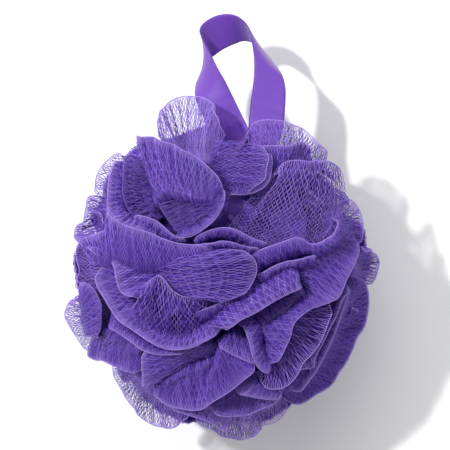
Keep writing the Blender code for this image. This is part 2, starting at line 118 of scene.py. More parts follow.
# Joins a value to a socket of a node that is there already.
def link(value, socket):
    value.tree.links.new(value.socket, socket)


# Curves and grids
# The cubic through the knots with the same steps from each knot to the next: its
# slope at a knot is half the way from the knot before it to the one after it.
def smoothKnots(knots, steps=12):
    ends = np.array([2 * knots[0] - knots[1], *knots, 2 * knots[-1] - knots[-2]])
    u = np.linspace(0, 1, steps, endpoint=False)[:, None]
    before, here, there, after = ends[:-3, None], ends[1:-2, None], ends[2:-1, None], ends[3:, None]
    line = here + 0.5 * u * (there - before)
    line = line + 0.5 * u**2 * (2 * before - 5 * here + 4 * there - after)
    line = line + 0.5 * u**3 * (3 * here - 3 * there + after - before)
    return np.vstack([line.reshape(-1, 3), knots[-1:]])


# Points at even steps of length on the smooth curve through the knots.
def evenCurve(knots, count=160):
    line = smoothKnots(np.asarray(knots, float))
    travelled = np.concatenate([[0], np.cumsum(np.linalg.norm(np.diff(line, axis=0), axis=1))])
    wanted = np.linspace(0, travelled[-1], count)
    return np.column_stack([np.interp(wanted, travelled, line[:, axis]) for axis in range(3)])


# The sum of the distances from each point to the next.
def curveLength(points):
    return float(np.linalg.norm(np.diff(points, axis=0), axis=1).sum())


# The points of an even curve at shares of its length, for an array of shares.
def onCurve(points, share):
    steps = np.linspace(0, 1, len(points))
    return np.stack([np.interp(share, steps, points[:, axis]) for axis in range(3)], axis=-1)


# Vectors divided by their own lengths.
def unit(vectors):
    return vectors / np.maximum(np.linalg.norm(vectors, axis=-1, keepdims=True), 1e-9)


# Points over places seen from above: on the ball's upper half, z is the middle
# plus the half height times sqrt(1 - x^2/a^2 - y^2/b^2), less the stated depth.
def onBall(places):
    places = np.asarray(places, float)
    share = (places[:, 0] / ball["halves"][0]) ** 2 + (places[:, 1] / ball["halves"][1]) ** 2
    rise = ball["halves"][2] * np.sqrt(np.maximum(0, 1 - share))
    return np.column_stack([places[:, :2], ball["middle"][2] + rise - places[:, 2]])


# Points round the middle, moved in or out to one share of the ball.
def pullTo(points, reach):
    share = np.linalg.norm(points / ball["halves"], axis=-1, keepdims=True)
    return points * (reach / share)


# Net
# The middle of a fold's two layers at shares s along it and t up it: for t from
# 0 to 1 it is (1-t)^2 root + 2t(1-t) crest + t^2 rim, and below 0 it runs straight
# down towards the ball's middle. The two ends roll down among the neighbours.
def foldSurface(fold, s, t):
    rim = onCurve(fold["rimLine"], s)
    root = onCurve(fold["rootLine"], s)
    crest = root + fold["lean"] * (rim - root)
    if fold["seen"]:
        crest[..., 2] = rim[..., 2]
    else:
        middle = ball["middle"]
        share = np.linalg.norm((rim - middle) / ball["halves"], axis=-1, keepdims=True)
        own = np.linalg.norm((crest - middle) / ball["halves"], axis=-1, keepdims=True)
        crest = middle + (crest - middle) * share / np.maximum(own, 1e-6)
    up = np.clip(t, 0, 1)[..., None]
    down = np.clip(-t, 0, 1)[..., None]
    spot = (1 - up) ** 2 * root + 2 * up * (1 - up) * crest + up**2 * rim
    foot = ball["middle"] + (root - ball["middle"]) * 0.5
    spot = spot * (1 - down) + foot * down
    inward = unit(ball["middle"] - rim)
    drop = fold["endDrop"] * (1 - fromEnds(s, fold["endShare"])) * np.clip(t, 0, 1)
    return spot + inward * drop[..., None]


# 0 at a fold's two ends, 1 beyond a share of it from them: x^2 (3 - 2x) between.
def fromEnds(s, share):
    x = np.clip(np.minimum(s, 1 - s) / share, 0, 1)
    return x * x * (3 - 2 * x)


# How far the net stands off its middle surface: long waves A1 sin(2 pi u/w1 + p1)
# that grow with t^2, pleats A2 sin(2 pi u/w2 + p2) along the threads, a crinkle
# A3 sin(2 pi u/1.9 + 5 sin 3t) and a slow wobble, which each layer has for itself
# until the two meet at the rim.
def ruffle(fold, s, t, layer):
    twist, pleat, slow = (fold["phases"][row][layer] for row in range(3))
    u = s * fold["length"]
    grow = np.clip(t, 0, 1)
    meet = grow**5
    waves = fold["wave"] * grow**2 * np.sin(2 * np.pi * u / fold["waveLength"] + fold["phases"][0][0])
    turns = 2 * np.pi * u / fold["pleatLength"] + 1.2 * np.sin(2 * np.pi * t + twist)
    shared = np.sin(turns + fold["phases"][1][0])
    pleats = fold["pleat"] * (0.4 + 0.6 * grow) * (meet * shared * 0.5 + (1 - meet) * np.sin(turns + pleat))
    wobble = 0.3 * np.sin(2 * np.pi * (u / 19 + t * 1.3) + slow) * (1 - meet)
    crinkle = fold["crinkle"] * np.sin(2 * np.pi * u / 1.9 + 5 * np.sin(3 * t + slow)) * (1 - meet)
    return waves + pleats + wobble + crinkle


# Points of the net of a fold, on its front layer where side is 1 and its back
# layer where it is -1. The layers part by 1 - exp(-d/4) of the fold's gap at a
# distance d from the rim, which they go round in a half circle.
def foldPoints(fold, s, t, side):
    step = 0.01
    spot = foldSurface(fold, s, t)
    along = foldSurface(fold, s + step, t) - foldSurface(fold, s - step, t)
    upward = foldSurface(fold, s, t + step) - foldSurface(fold, s, t - step)
    normal = unit(np.cross(along, upward))
    off = np.where(side > 0, ruffle(fold, s, t, 0), ruffle(fold, s, t, 1))
    fromRim = np.clip(1 - t, 0, 2) * fold["height"]
    turn = np.minimum(fromRim / fold["rimRadius"], 1)
    gap = fold["gap"] * (1 - np.exp(-fromRim / 4.0)) + fold["rimRadius"] * np.sqrt(1 - (1 - turn) ** 2)
    gap = gap * (0.3 + 0.7 * fromEnds(s, 0.08))
    points = spot + normal * (off + side * gap)[..., None]
    points[..., 2] = np.maximum(points[..., 2], fold["lowest"])
    return points, unit(along), fromRim


# Shares t from under a fold's root up its front, round its rim and down its back,
# and the side of each: the last stations before the rim stand round a half circle.
def foldPath(fold, below, rows):
    rise = np.concatenate([-np.arange(below, 0, -1) / below * fold["footShare"], np.arange(rows) / rows])
    radius = fold["rimRadius"] / fold["height"]
    rise = rise * (1 - radius)
    around = 1 - radius * (1 - np.sin(np.radians([0, 32, 62])))
    front = np.concatenate([rise, around])
    return np.concatenate([front, [1.0], front[::-1]]), np.repeat([1.0, -1.0], [len(front) + 1, len(front)])


# A fold as threads: their middle lines, the way each point heads and faces, and
# the values for its colour. A thread climbs the front, turns over the rim and goes
# down the back. Neighbours swing to each other in turn, by a share of their
# spacing, so that they meet at every other bend. Where they lie over a skin they
# end just beyond the rim, unless the fold stands upright.
def foldThreads(fold):
    count = max(8, int(fold["length"] / fold["pitch"]))
    rows = max(4, int(round(fold["height"] * 1.1 / fold["row"])))
    t, side = foldPath(fold, 1 if fold["cover"] else 2, rows)
    if fold["cover"] and fold["facing"]:
        last = len(t) // 2 + 4
        t, side = (values[:: fold["facing"]][:last] for values in (t, side))
    steps = len(t)
    index = np.arange(count)[:, None]
    row = np.arange(steps)[None, :]
    calm = 1 - np.exp(-np.clip(1 - t, 0, 2) * fold["height"] / 1.3)
    swing = np.where((index + row) % 2 == 0, 1.0, -1.0) * fold["swing"] * calm
    shift = np.where(side > 0, 0.0, fold["shift"] * calm)
    jitter = dice.normal(0, 0.05, (count, steps)) * calm
    s = np.clip((index + 0.5 + swing + shift + jitter) / count, 0, 1)
    t = np.broadcast_to(t, (count, steps)) + dice.normal(0, 0.05, (count, 1)) / rows * calm
    lines, along, fromRim = foldPoints(fold, s, t, np.broadcast_to(side, (count, steps)))
    heading = unit(np.gradient(lines, axis=1))
    outward = unit(np.cross(along, heading))
    # painted rim highlight, strongest at the rim and never below the fold's own least share
    rimHighlight = np.maximum(fold["leastHighlight"], np.exp(-fromRim / 1.4))
    # painted shade, at least as dark on the back layer
    paintedShade = np.where(side > 0, fold["paintedShade"], np.maximum(fold["paintedShade"], fold["backShade"]))
    values = np.stack(np.broadcast_arrays(rimHighlight, paintedShade, dice.random((count, 1))), axis=-1)
    up = np.where(side > 0, t[0], 2 - t[0]) * fold["height"] / fold["row"]
    knit = np.stack(np.broadcast_arrays(s * fold["length"], up, -0.01 - fold["bands"]), axis=-1)
    return lines, heading, outward, values, knit


# The threads that bunch where a fold turns over: one line along its rim.
def rimThread(fold):
    steps = max(12, int(fold["length"] / 1.1))
    s = np.linspace(0.012, 0.988, steps)[None]
    lines, along, fromRim = foldPoints(fold, s, np.ones((1, steps)), np.ones((1, steps)))
    heading = unit(np.gradient(lines, axis=1))
    outward = unit(onCurve(fold["rimLine"], s) - ball["middle"])
    # the rim thread carries the full painted highlight and no painted shade
    values = np.tile([1.0, 0.0, fold["own"]], (1, steps, 1))
    outward = unit(outward - heading * (outward * heading).sum(-1, keepdims=True))
    return lines, heading, outward, values, np.full((1, steps, 3), -0.01)


# Three-sided tubes along threads. A ring's corners stand at 90, 210 and
# 330 degrees in the plane across the thread, the wide radius along the net and the
# narrow one across it. On the map a thread is an upright strip of three sides.
def addTubes(parts, threads, radius, band):
    lines, heading, outward, values, knit = threads
    wide, narrow = radius
    count, steps = lines.shape[:2]
    across = np.cross(heading, outward)
    angles = np.radians([90, 210, 330])
    ring = np.cos(angles)[:, None] * across[:, :, None] * wide
    ring = ring + np.sin(angles)[:, None] * outward[:, :, None] * narrow
    number = parts["count"] + np.arange(count * steps * 3).reshape(count, steps, 3)
    here, there = number[:, :-1], number[:, 1:]
    quads = np.stack([here, there, np.roll(there, -1, axis=2), np.roll(here, -1, axis=2)], axis=-1)
    caps = np.concatenate([number[:, 0], number[:, -1, ::-1]])
    high = band[1] - band[0]
    strip = (np.arange(count) + 0.12) / count
    width = 0.76 / count
    left = strip[:, None, None] + width / 3 * np.arange(3) + np.zeros((1, steps - 1, 1))
    rise = band[0] + high * (0.04 + 0.92 * np.arange(steps) / (steps - 1))
    low, top = rise[:-1, None] + 0 * left, rise[1:, None] + 0 * left
    right = left + width / 3
    corners = [(left, low), (left, top), (right, top), (right, low)]
    quadMap = np.stack([np.stack(corner, -1) for corner in corners], axis=-2)
    corner = np.array([[0.0, 0.0], [0.5, 1.0], [1.0, 0.0]]) * [width, 0.03 * high]
    ends = [np.stack([strip, np.full(count, band[0] + share * high)], axis=-1) for share in (0.005, 0.965)]
    addPart(
        parts, (lines[:, :, None] + ring).reshape(-1, 3), quads.reshape(-1, 4), caps,
        quadMap.reshape(-1, 2), (np.concatenate(ends)[:, None] + corner).reshape(-1, 2),
        np.repeat(values.reshape(-1, 3), 3, axis=0), np.repeat(knit.reshape(-1, 3), 3, axis=0),
    )


# A fold as one closed skin round its two layers. Its knit is drawn by the
# material, which reads places counted in meshes along the net and up it.
def addSkin(parts, fold, band):
    columns = int(np.clip(fold["length"] / fold["fine"], 24, 150))
    rows = max(5, int(round(fold["height"] / fold["fine"] / 1.7)))
    t, side = foldPath(fold, 3, rows)
    steps = len(t)
    s = np.broadcast_to(np.linspace(0, 1, columns)[:, None], (columns, steps))
    t, side = (np.broadcast_to(values, (columns, steps)) for values in (t, side))
    points, along, fromRim = foldPoints(fold, s, t, side)
    number = parts["count"] + np.arange(columns * steps).reshape(columns, steps)
    quads = np.stack([number[:-1, :-1], number[1:, :-1], number[1:, 1:], number[:-1, 1:]], axis=-1)
    root = np.stack([number[:-1, -1], number[1:, -1], number[1:, 0], number[:-1, 0]], axis=-1)
    half = (steps - 1) // 2
    up = np.arange(half - 1)
    ends = []
    for line, turned in ((number[0], False), (number[-1], True)):
        end = np.stack([line[up], line[up + 1], line[steps - 2 - up], line[steps - 1 - up]], axis=-1)
        ends.append(end[:, ::-1] if turned else end)
    tips = np.array([number[0, half - 1 : half + 2], number[-1, half - 1 : half + 2][::-1]])
    high = band[1] - band[0]
    corners = np.array([[0, 0], [1, 0], [1, 1], [0, 1]])
    place = np.stack(np.meshgrid(np.arange(columns - 1), np.arange(steps - 1), indexing="ij"), axis=-1)
    main = (place[:, :, None] + corners) / [columns - 1, steps - 1] * [1, 0.88]
    rootMap = (place[:, 0, None] * [1, 0] + corners) / [columns - 1, 30]
    endMap = (np.stack([up, 0 * up], axis=-1)[:, None] + corners) / [half, 50]
    quadMap = np.concatenate([
        main.reshape(-1, 2), rootMap.reshape(-1, 2) + [0, 0.89],
        endMap.reshape(-1, 2) + [0, 0.93], endMap.reshape(-1, 2) + [0, 0.955],
    ])
    tipMap = np.array([[0.0, 0.98], [0.01, 0.98], [0.005, 0.99], [0.1, 0.98], [0.11, 0.98], [0.105, 0.99]])
    up = np.where(side > 0, t, 2 - t) * fold["height"]
    # the open share sets how dark the holes are painted, as shade through the net
    knit = np.broadcast_arrays(s * fold["length"] / fold["pitch"], up / fold["row"], fold["open"])
    # painted rim highlight near the rim; the fold's painted shade goes with it
    rimHighlight = np.maximum(fold["leastHighlight"], np.exp(-fromRim / 0.9))
    values = np.stack(np.broadcast_arrays(rimHighlight, fold["paintedShade"], fold["own"]), axis=-1)
    addPart(
        parts, points.reshape(-1, 3), np.concatenate([quads.reshape(-1, 4), root, *ends]), tips,
        quadMap * [0.98, high] + [0.01, band[0]], tipMap * [1, high] + [0, band[0]],
        values.reshape(-1, 3), np.stack(knit, axis=-1).reshape(-1, 3),
    )


# The skin below a fold's threads: the same fold, its rim 0.4 mm nearer the ball's
# middle and its layers closer together.
# It is painted darker, as shade under the threads, and has no painted rim highlight.
def underThreads(fold):
    inward = unit(ball["middle"] - fold["rimLine"])
    return {
        **fold, "rimLine": fold["rimLine"] + 0.4 * inward, "gap": fold["gap"] * 0.55, "rimRadius": 0.3,
        "crinkle": 0.0, "paintedShade": fold["skinShade"], "fine": fold["skinFine"], "leastHighlight": 0.0,
    }


# Keeps one part's arrays for the piece that they are joined to, and counts its
# points, because the next part's faces number theirs from there.
def addPart(parts, *arrays):
    names = ("points", "quads", "triangles", "quadMap", "triangleMap", "yarn", "knit")
    for name, array in zip(names, arrays):
        parts.setdefault(name, []).append(array)
    parts["count"] += len(arrays[0])


# A mesh from whole arrays, in metres, with its bake map and its point values.
def newPiece(name, points, quads, triangles, material, quadMap=None, triangleMap=None, values=None):
    mesh = bpy.data.meshes.new(name)
    corners = np.concatenate([quads.reshape(-1), triangles.reshape(-1)]).astype(np.int32)
    sizes = np.concatenate([np.full(len(quads), 4), np.full(len(triangles), 3)])
    mesh.vertices.add(len(points))
    mesh.vertices.foreach_set("co", (points / 1000).astype(np.float32).reshape(-1))
    mesh.loops.add(len(corners))
    mesh.loops.foreach_set("vertex_index", corners)
    mesh.polygons.add(len(sizes))
    mesh.polygons.foreach_set("loop_start", np.concatenate([[0], np.cumsum(sizes)[:-1]]).astype(np.int32))
    mesh.update(calc_edges=True)
    if quadMap is not None:
        layer = mesh.uv_layers.new(name="OFBake")
        layer.data.foreach_set("uv", np.concatenate([quadMap, triangleMap]).astype(np.float32).reshape(-1))
    for key, value in (values or {}).items():
        held = mesh.attributes.new(key, "FLOAT_VECTOR", "POINT")
        held.data.foreach_set("vector", value.astype(np.float32).reshape(-1))
    mesh.polygons.foreach_set("use_smooth", np.ones(len(sizes), bool))
    mesh.validate()
    piece = bpy.data.objects.new(name, mesh)
    bpy.context.scene.collection.objects.link(piece)
    mesh.materials.append(material)
    return piece


# What a fold has unless its own line says otherwise, in millimetres
# Some of these are shares of painted light, not millimetres: one paints a whole fold toward the rim
# highlight, and three paint the net darker as shade, on the front, on the back layer and on the skin under
# threads.
foldNumbers = dict(
    lean=0.22, gap=0.8, rimRadius=0.55, endShare=0.1, endDrop=4.0, footShare=0.3, lowest=0.15,
    wave=0.6, pleat=0.36, crinkle=0.12, pitch=0.62, row=1.5, open=0.6, fine=0.62, paintedShade=0.0, backShade=0.0,
    leastHighlight=0.0, threads=False, cover=True, skinShade=0.7, skinFine=1.1, swing=0.36, radius=(0.155, 0.11),
    bands=0.42, rimThread=(0.24, 0.2),
)


# Fills in a fold's curves and its ruffles, each with its own chance.
def readyFold(fold, seen, **numbers):
    fold = {**foldNumbers, **numbers, **fold}
    if seen:
        fold["rimLine"] = evenCurve(onBall(fold["rim"]))
        fold["rootLine"] = evenCurve(onBall(fold["root"]))
    fold["seen"] = seen
    fold["length"] = curveLength(fold["rimLine"])
    fold["height"] = float(np.linalg.norm(fold["rimLine"] - fold["rootLine"], axis=1).mean())
    fold["waveLength"] = dice.uniform(13, 20)
    fold["pleatLength"] = dice.uniform(2.6, 4.8)
    fold["phases"] = dice.uniform(0, 2 * np.pi, (3, 2))
    fold["shift"] = dice.uniform(0.2, 0.8)
    fold["own"] = dice.uniform(0.3, 0.7)
    if fold["threads"]:
        fold["cover"] = False
    s, t = np.array([0.25, 0.5, 0.75]), np.full(3, 0.6)
    along = foldSurface(fold, s + 0.01, t) - foldSurface(fold, s - 0.01, t)
    upward = foldSurface(fold, s, t + 0.01) - foldSurface(fold, s, t - 0.01)
    outward = np.array([0.0, 0.0, 1.0]) if seen else unit(foldSurface(fold, s, t) - ball["middle"])
    level = (unit(np.cross(along, upward)) * outward).sum(-1).mean()
    fold["facing"] = int(np.sign(level)) if abs(level) > 0.4 or not seen else 0
    return fold


# A piece moves with the one body and stands for its CAD node, which it hides.
def standFor(piece, node):
    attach(piece, "root")
    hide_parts(node)


# Makes a stretch of the net stand for the CAD netting, and prints half its mesh's area.
def placeNet(piece, count):
    standFor(piece, "mesh_netting")
    covered = sum(face.area for face in piece.data.polygons) / 2
    print(f"{piece.name}: {count} triangles, {covered:.4f} square metres of thread")


# One stretch of the net: the threads and skins of its folds in one mesh.
def netPiece(name, folds):
    parts = dict(count=0)
    knitted = [fold for fold in folds if fold["threads"] or fold["cover"]]
    skinned = [fold for fold in folds if not fold["threads"]]
    jobs = [(addTubes, (foldThreads(fold), fold["radius"])) for fold in knitted]
    jobs += [(addTubes, (rimThread(fold), fold["rimThread"])) for fold in folds if fold["rimThread"]]
    jobs += [(addSkin, [underThreads(fold) if fold["cover"] else fold]) for fold in skinned]
    for number, (add, inputs) in enumerate(jobs):
        add(parts, *inputs, (number / len(jobs), (number + 1) / len(jobs)))
    joined = {key: np.concatenate(value) for key, value in parts.items() if key != "count"}
    piece = newPiece(
        name, joined["points"], joined["quads"], joined["triangles"], netThreads,
        joined["quadMap"], joined["triangleMap"], dict(yarn=joined["yarn"], knit=joined["knit"]),
    )
    placeNet(piece, 2 * len(joined["quads"]) + len(joined["triangles"]))


# The net's material
# rim is a painted highlight colour for the fold rims and glints, the colour after it is painted shade deep in
# the ball, and gap is painted shade seen through the holes and dashes of the net.
netLook = dict(
    dark=(0.175, 0.068, 0.6, 1), light=(0.365, 0.185, 0.92, 1), rim=(0.55, 0.37, 0.93, 1),
    paintedShade=(0.082, 0.025, 0.4, 1), gap=(0.05, 0.013, 0.31, 1),
    behind=(1.27, 0.92), shownBehind=0.75,  # the layer behind: its meshes along and up, and how much shows
    bands=(0.17, 0.05), bandCloud=1.2, columns=0.36, rows=0.26, dashCloud=0.4,
    cloudScale=55.0, glintScale=330.0,
    bandShare=0.55, glintShare=0.3, rimHighlightShare=0.85, paintedShadeShare=0.85, dashShare=2.4, dashMost=0.9,
    gloss=(0.32, 0.14), throughShare=0.3, bump=(0.7, 0.00025),
)


# Thin violet threads that let some light through: two violets blended by a cloudy
# noise and each thread's own chance, with a painted highlight along the rims of the
# folds, painted glints, and painted shade deep in the ball. On a skin, where a and b
# count meshes along the net and up it, the threads of one layer lie where
# max(cos 2pi(a+b), cos 2pi(a-b)) is high and those of the layer behind where it is for
# 1.27a and 0.92b; the gaps are painted dark, as the shade seen through the net. Threads
# have a negative third value instead, whose size is the strength of the pattern that two
# layers of net make: pale bands where cos 2pi(0.17a + 0.05b + noise) is low, and dashes
# painted dark as shade through the holes where cos 2pi(0.36a + noise) cos 2pi(0.26b + noise)
# is high, which stand in rows like bricks. Roughness is 0.32 to 0.46 with each thread's own chance.
def netMaterial(look):
    material, tool, shader = newMaterial("netThreads")

    def parts(name):
        read = tool.out("ShaderNodeAttribute", dict(attribute_name=name), 1)
        split = tool.node("ShaderNodeSeparateXYZ", _0=read)
        return (Value(tool.tree, split.outputs[number]) for number in range(3))

    def wave(turns):
        return tool.math("COSINE", turns * (2 * math.pi))

    def thread(across, up):
        return (tool.math("MAXIMUM", wave(across + up), wave(across - up)) * 1.6 - 0.1).clamp()

    rimHighlight, paintedShade, own = parts("yarn")
    a, b, openness = parts("knit")
    front = thread(a, b)
    behind = thread(a * look["behind"][0], b * look["behind"][1])
    isSkin = (openness * 1000.0 + 1.0).clamp()
    strength = (0.0 - openness).clamp()
    holeShade = (1.0 - front) * (1.0 - behind * look["shownBehind"]) * isSkin
    place = tool.out("ShaderNodeTexCoord", output=3)
    cloud = tool.out("ShaderNodeTexNoise", Vector=place, Scale=look["cloudScale"], Detail=2.0)
    fine = tool.out("ShaderNodeTexNoise", Vector=place, Scale=look["glintScale"], Detail=2.0)
    glints = (fine * 7.0 - 4.3).clamp()
    bands = wave(a * look["bands"][0] + b * look["bands"][1] + cloud * look["bandCloud"]) * 0.5 + 0.5
    shift = cloud * look["dashCloud"]
    shadeDashes = (wave(a * look["columns"] + shift) * wave(b * look["rows"] + shift) * 2.8 - 0.35).clamp()
    shadeDashes = shadeDashes * (bands * 0.6 + 0.4) * ((cloud * 5.0 - 1.8).clamp() * 0.7 + 0.3)
    shadeDashes = shadeDashes * (1.7 - rimHighlight * 2.0).clamp() * strength * look["dashShare"]
    colour = (cloud * 1.1 + own * 0.9 - 0.5).clamp().mix(look["dark"], look["light"])
    colour = ((1.0 - bands) * strength * look["bandShare"]).mix(colour, look["rim"])
    # painted glints on the threads
    colour = (glints * (1.0 - isSkin) * look["glintShare"]).mix(colour, look["rim"])
    # painted highlight along the rims of the folds, and over whole pale lobes
    colour = (rimHighlight * look["rimHighlightShare"]).mix(colour, look["rim"])
    # dashes painted dark, as shade seen through the holes of the two layers
    colour = shadeDashes.clamp(0.0, look["dashMost"]).mix(colour, look["gap"])
    # painted shade deep in the ball
    colour = (paintedShade * look["paintedShadeShare"]).mix(colour, look["paintedShade"])
    # holes of a skin painted dark, as the shade seen through the net
    colour = (holeShade * (openness * 0.55 + 0.45)).mix(colour, look["gap"])
    link(colour, shader.inputs["Base Color"])
    link(own * look["gloss"][1] + look["gloss"][0], shader.inputs["Roughness"])
    bump = tool.out("ShaderNodeBump", Height=front, Strength=look["bump"][0], Distance=look["bump"][1])
    link(bump, shader.inputs["Normal"])
    shader.inputs["Specular IOR Level"].default_value = 0.5
    solid = Value(tool.tree, shader.outputs[0])
    glow = tool.out("ShaderNodeBsdfTranslucent", Color=colour)
    mixed = tool.out("ShaderNodeMixShader", _0=look["throughShare"], _1=solid, _2=glow)
    link(mixed, tool.tree.nodes["Material Output"].inputs["Surface"])
    return material


netThreads = netMaterial(netLook)


# The folds seen from above. Each has points along its rim, then points where it sinks
# in among its neighbours: across, along, and depth below the ball, in millimetres.
# Some folds' own shares paint light: one paints the whole fold toward the rim highlight, others paint it
# darker as shade.
topNet = dict(
    lobeTop=dict(
        rim=[
            (-28, 59, 14), (-26.5, 63.5, 12), (-23.5, 69, 12), (-18.5, 72, 12), (-12.5, 72.5, 12),
            (-7, 71.5, 12), (-4, 69, 12), (-3, 66, 12), (-1, 62, 12), (2, 60, 14),
        ],
        root=[(-21, 45.5, 20), (-17, 43, 20), (-12.5, 42, 20), (-8, 42.5, 20), (-4, 45.5, 20)],
        threads=True, pitch=0.68, row=1.8, radius=(0.13, 0.1), leastHighlight=0.6, gap=1.6, lowest=20.0,
    ),
    lobeTopRight=dict(
        rim=[
            (10.5, 59, 9), (15.5, 61.5, 9), (21, 62, 9), (26, 61.5, 9), (30, 60, 9), (34, 58.5, 9),
            (37.5, 55.5, 10), (41, 52, 11), (44.5, 49, 12), (46.5, 45.5, 13),
        ],
        root=[(15.5, 45.5, 15), (20.5, 44, 15), (26, 43, 15), (32, 41, 15), (38, 38, 16)],
        threads=True, pitch=0.75, row=1.7, radius=(0.16, 0.11), leastHighlight=0.2, gap=1.4,
    ),
    topRightFold=dict(
        rim=[(15, 51, 4), (21, 51, 3), (27, 51, 3), (33, 52.5, 4), (37, 51, 6), (39, 48.5, 8)],
        root=[(18.5, 40.5, 12), (25.5, 38.5, 12), (32, 38.5, 12)],
    ),
    openPetal=dict(
        rim=[
            (20.5, 35.5, 6), (23, 40, 4), (26, 43.5, 2), (31, 45, 1), (36.5, 44.5, 1), (42, 45, 2),
            (47.5, 43.5, 4), (52, 39.5, 5),
        ],
        root=[
            (1, 17.5, 10), (6, 12.5, 10), (14.5, 9, 10), (24.5, 7.5, 10), (34.5, 7.5, 10), (42, 9, 10),
            (50, 17, 10),
        ],
        threads=True, pitch=0.95, row=1.35, radius=(0.19, 0.13), gap=3.0, backShade=0.5, leastHighlight=0.4,
    ),
    centreLobe=dict(
        rim=[
            (15.5, 52, 3), (18.5, 49, 1), (19.5, 45.5, 0), (18.5, 41, 0), (18, 37.5, 0), (15, 34.5, 1),
            (10.5, 33, 2),
        ],
        root=[(0, 52.5, 7), (-2.5, 48.5, 7), (-2.5, 44, 7), (0, 38.5, 7), (2.5, 33.5, 7)],
        threads=True, pitch=0.8, row=1.5, radius=(0.17, 0.12), gap=1.6, backShade=0.6,
    ),
    centreUnder=dict(
        rim=[(20.5, 49, 4), (21, 43.5, 3), (20, 37, 3), (16, 32.5, 4), (8.5, 30.5, 5), (2, 31.5, 6)],
        root=[(11, 48.5, 10), (12, 43.5, 10), (10.5, 39.5, 10), (7, 37, 10)],
    ),
    conePetal=dict(
        rim=[
            (-38, 56, 3), (-33.5, 55, 2), (-28.5, 54.5, 1), (-23.5, 52.5, 0), (-19.5, 51, -1),
            (-13, 47.5, -2), (-7, 43.5, -2), (-3, 39.5, -2), (0, 35.5, -2), (1, 32, -1),
        ],
        root=[
            (-26.5, 26, 9), (-26, 29.5, 7), (-23.5, 32, 5), (-19, 32, 4), (-15.5, 31, 3), (-11.5, 30, 3),
            (-6.5, 29, 2), (-2, 29.5, 2),
        ],
        bands=0.75,
    ),
    coneInside=dict(
        rim=[(-26, 27.5, 8), (-25, 25, 8), (-23, 21.5, 8), (-20.5, 18, 7), (-17.5, 15, 6), (-14, 13.5, 5)],
        root=[(0.5, 32, 0), (1, 30, 0), (1, 28.5, 0), (0.5, 26.5, 0), (0, 25, 0)],
        threads=True, pitch=0.62, row=1.9, radius=(0.16, 0.12), gap=1.6, backShade=0.8, endDrop=0.5,
        bands=1, rimThread=(0.12, 0.1),
    ),
    coneEdge=dict(
        rim=[
            (1, 33, -1), (1.5, 30, -1), (1, 27, -1), (-0.5, 23.5, -1), (-3, 20, 0), (-6.5, 17, 1),
            (-10, 14.5, 2), (-14, 13, 3), (-18.5, 13, 4),
        ],
        root=[
            (-0.5, 31.5, 2), (-0.5, 29, 2), (-1.5, 26.5, 2), (-3, 23.5, 2), (-5.5, 21, 3), (-8.5, 18.5, 3),
            (-11.5, 16.5, 4), (-15, 15, 5), (-18, 14.5, 6),
        ],
        endDrop=0.5, leastHighlight=0.1, endShare=0.06,
    ),
)
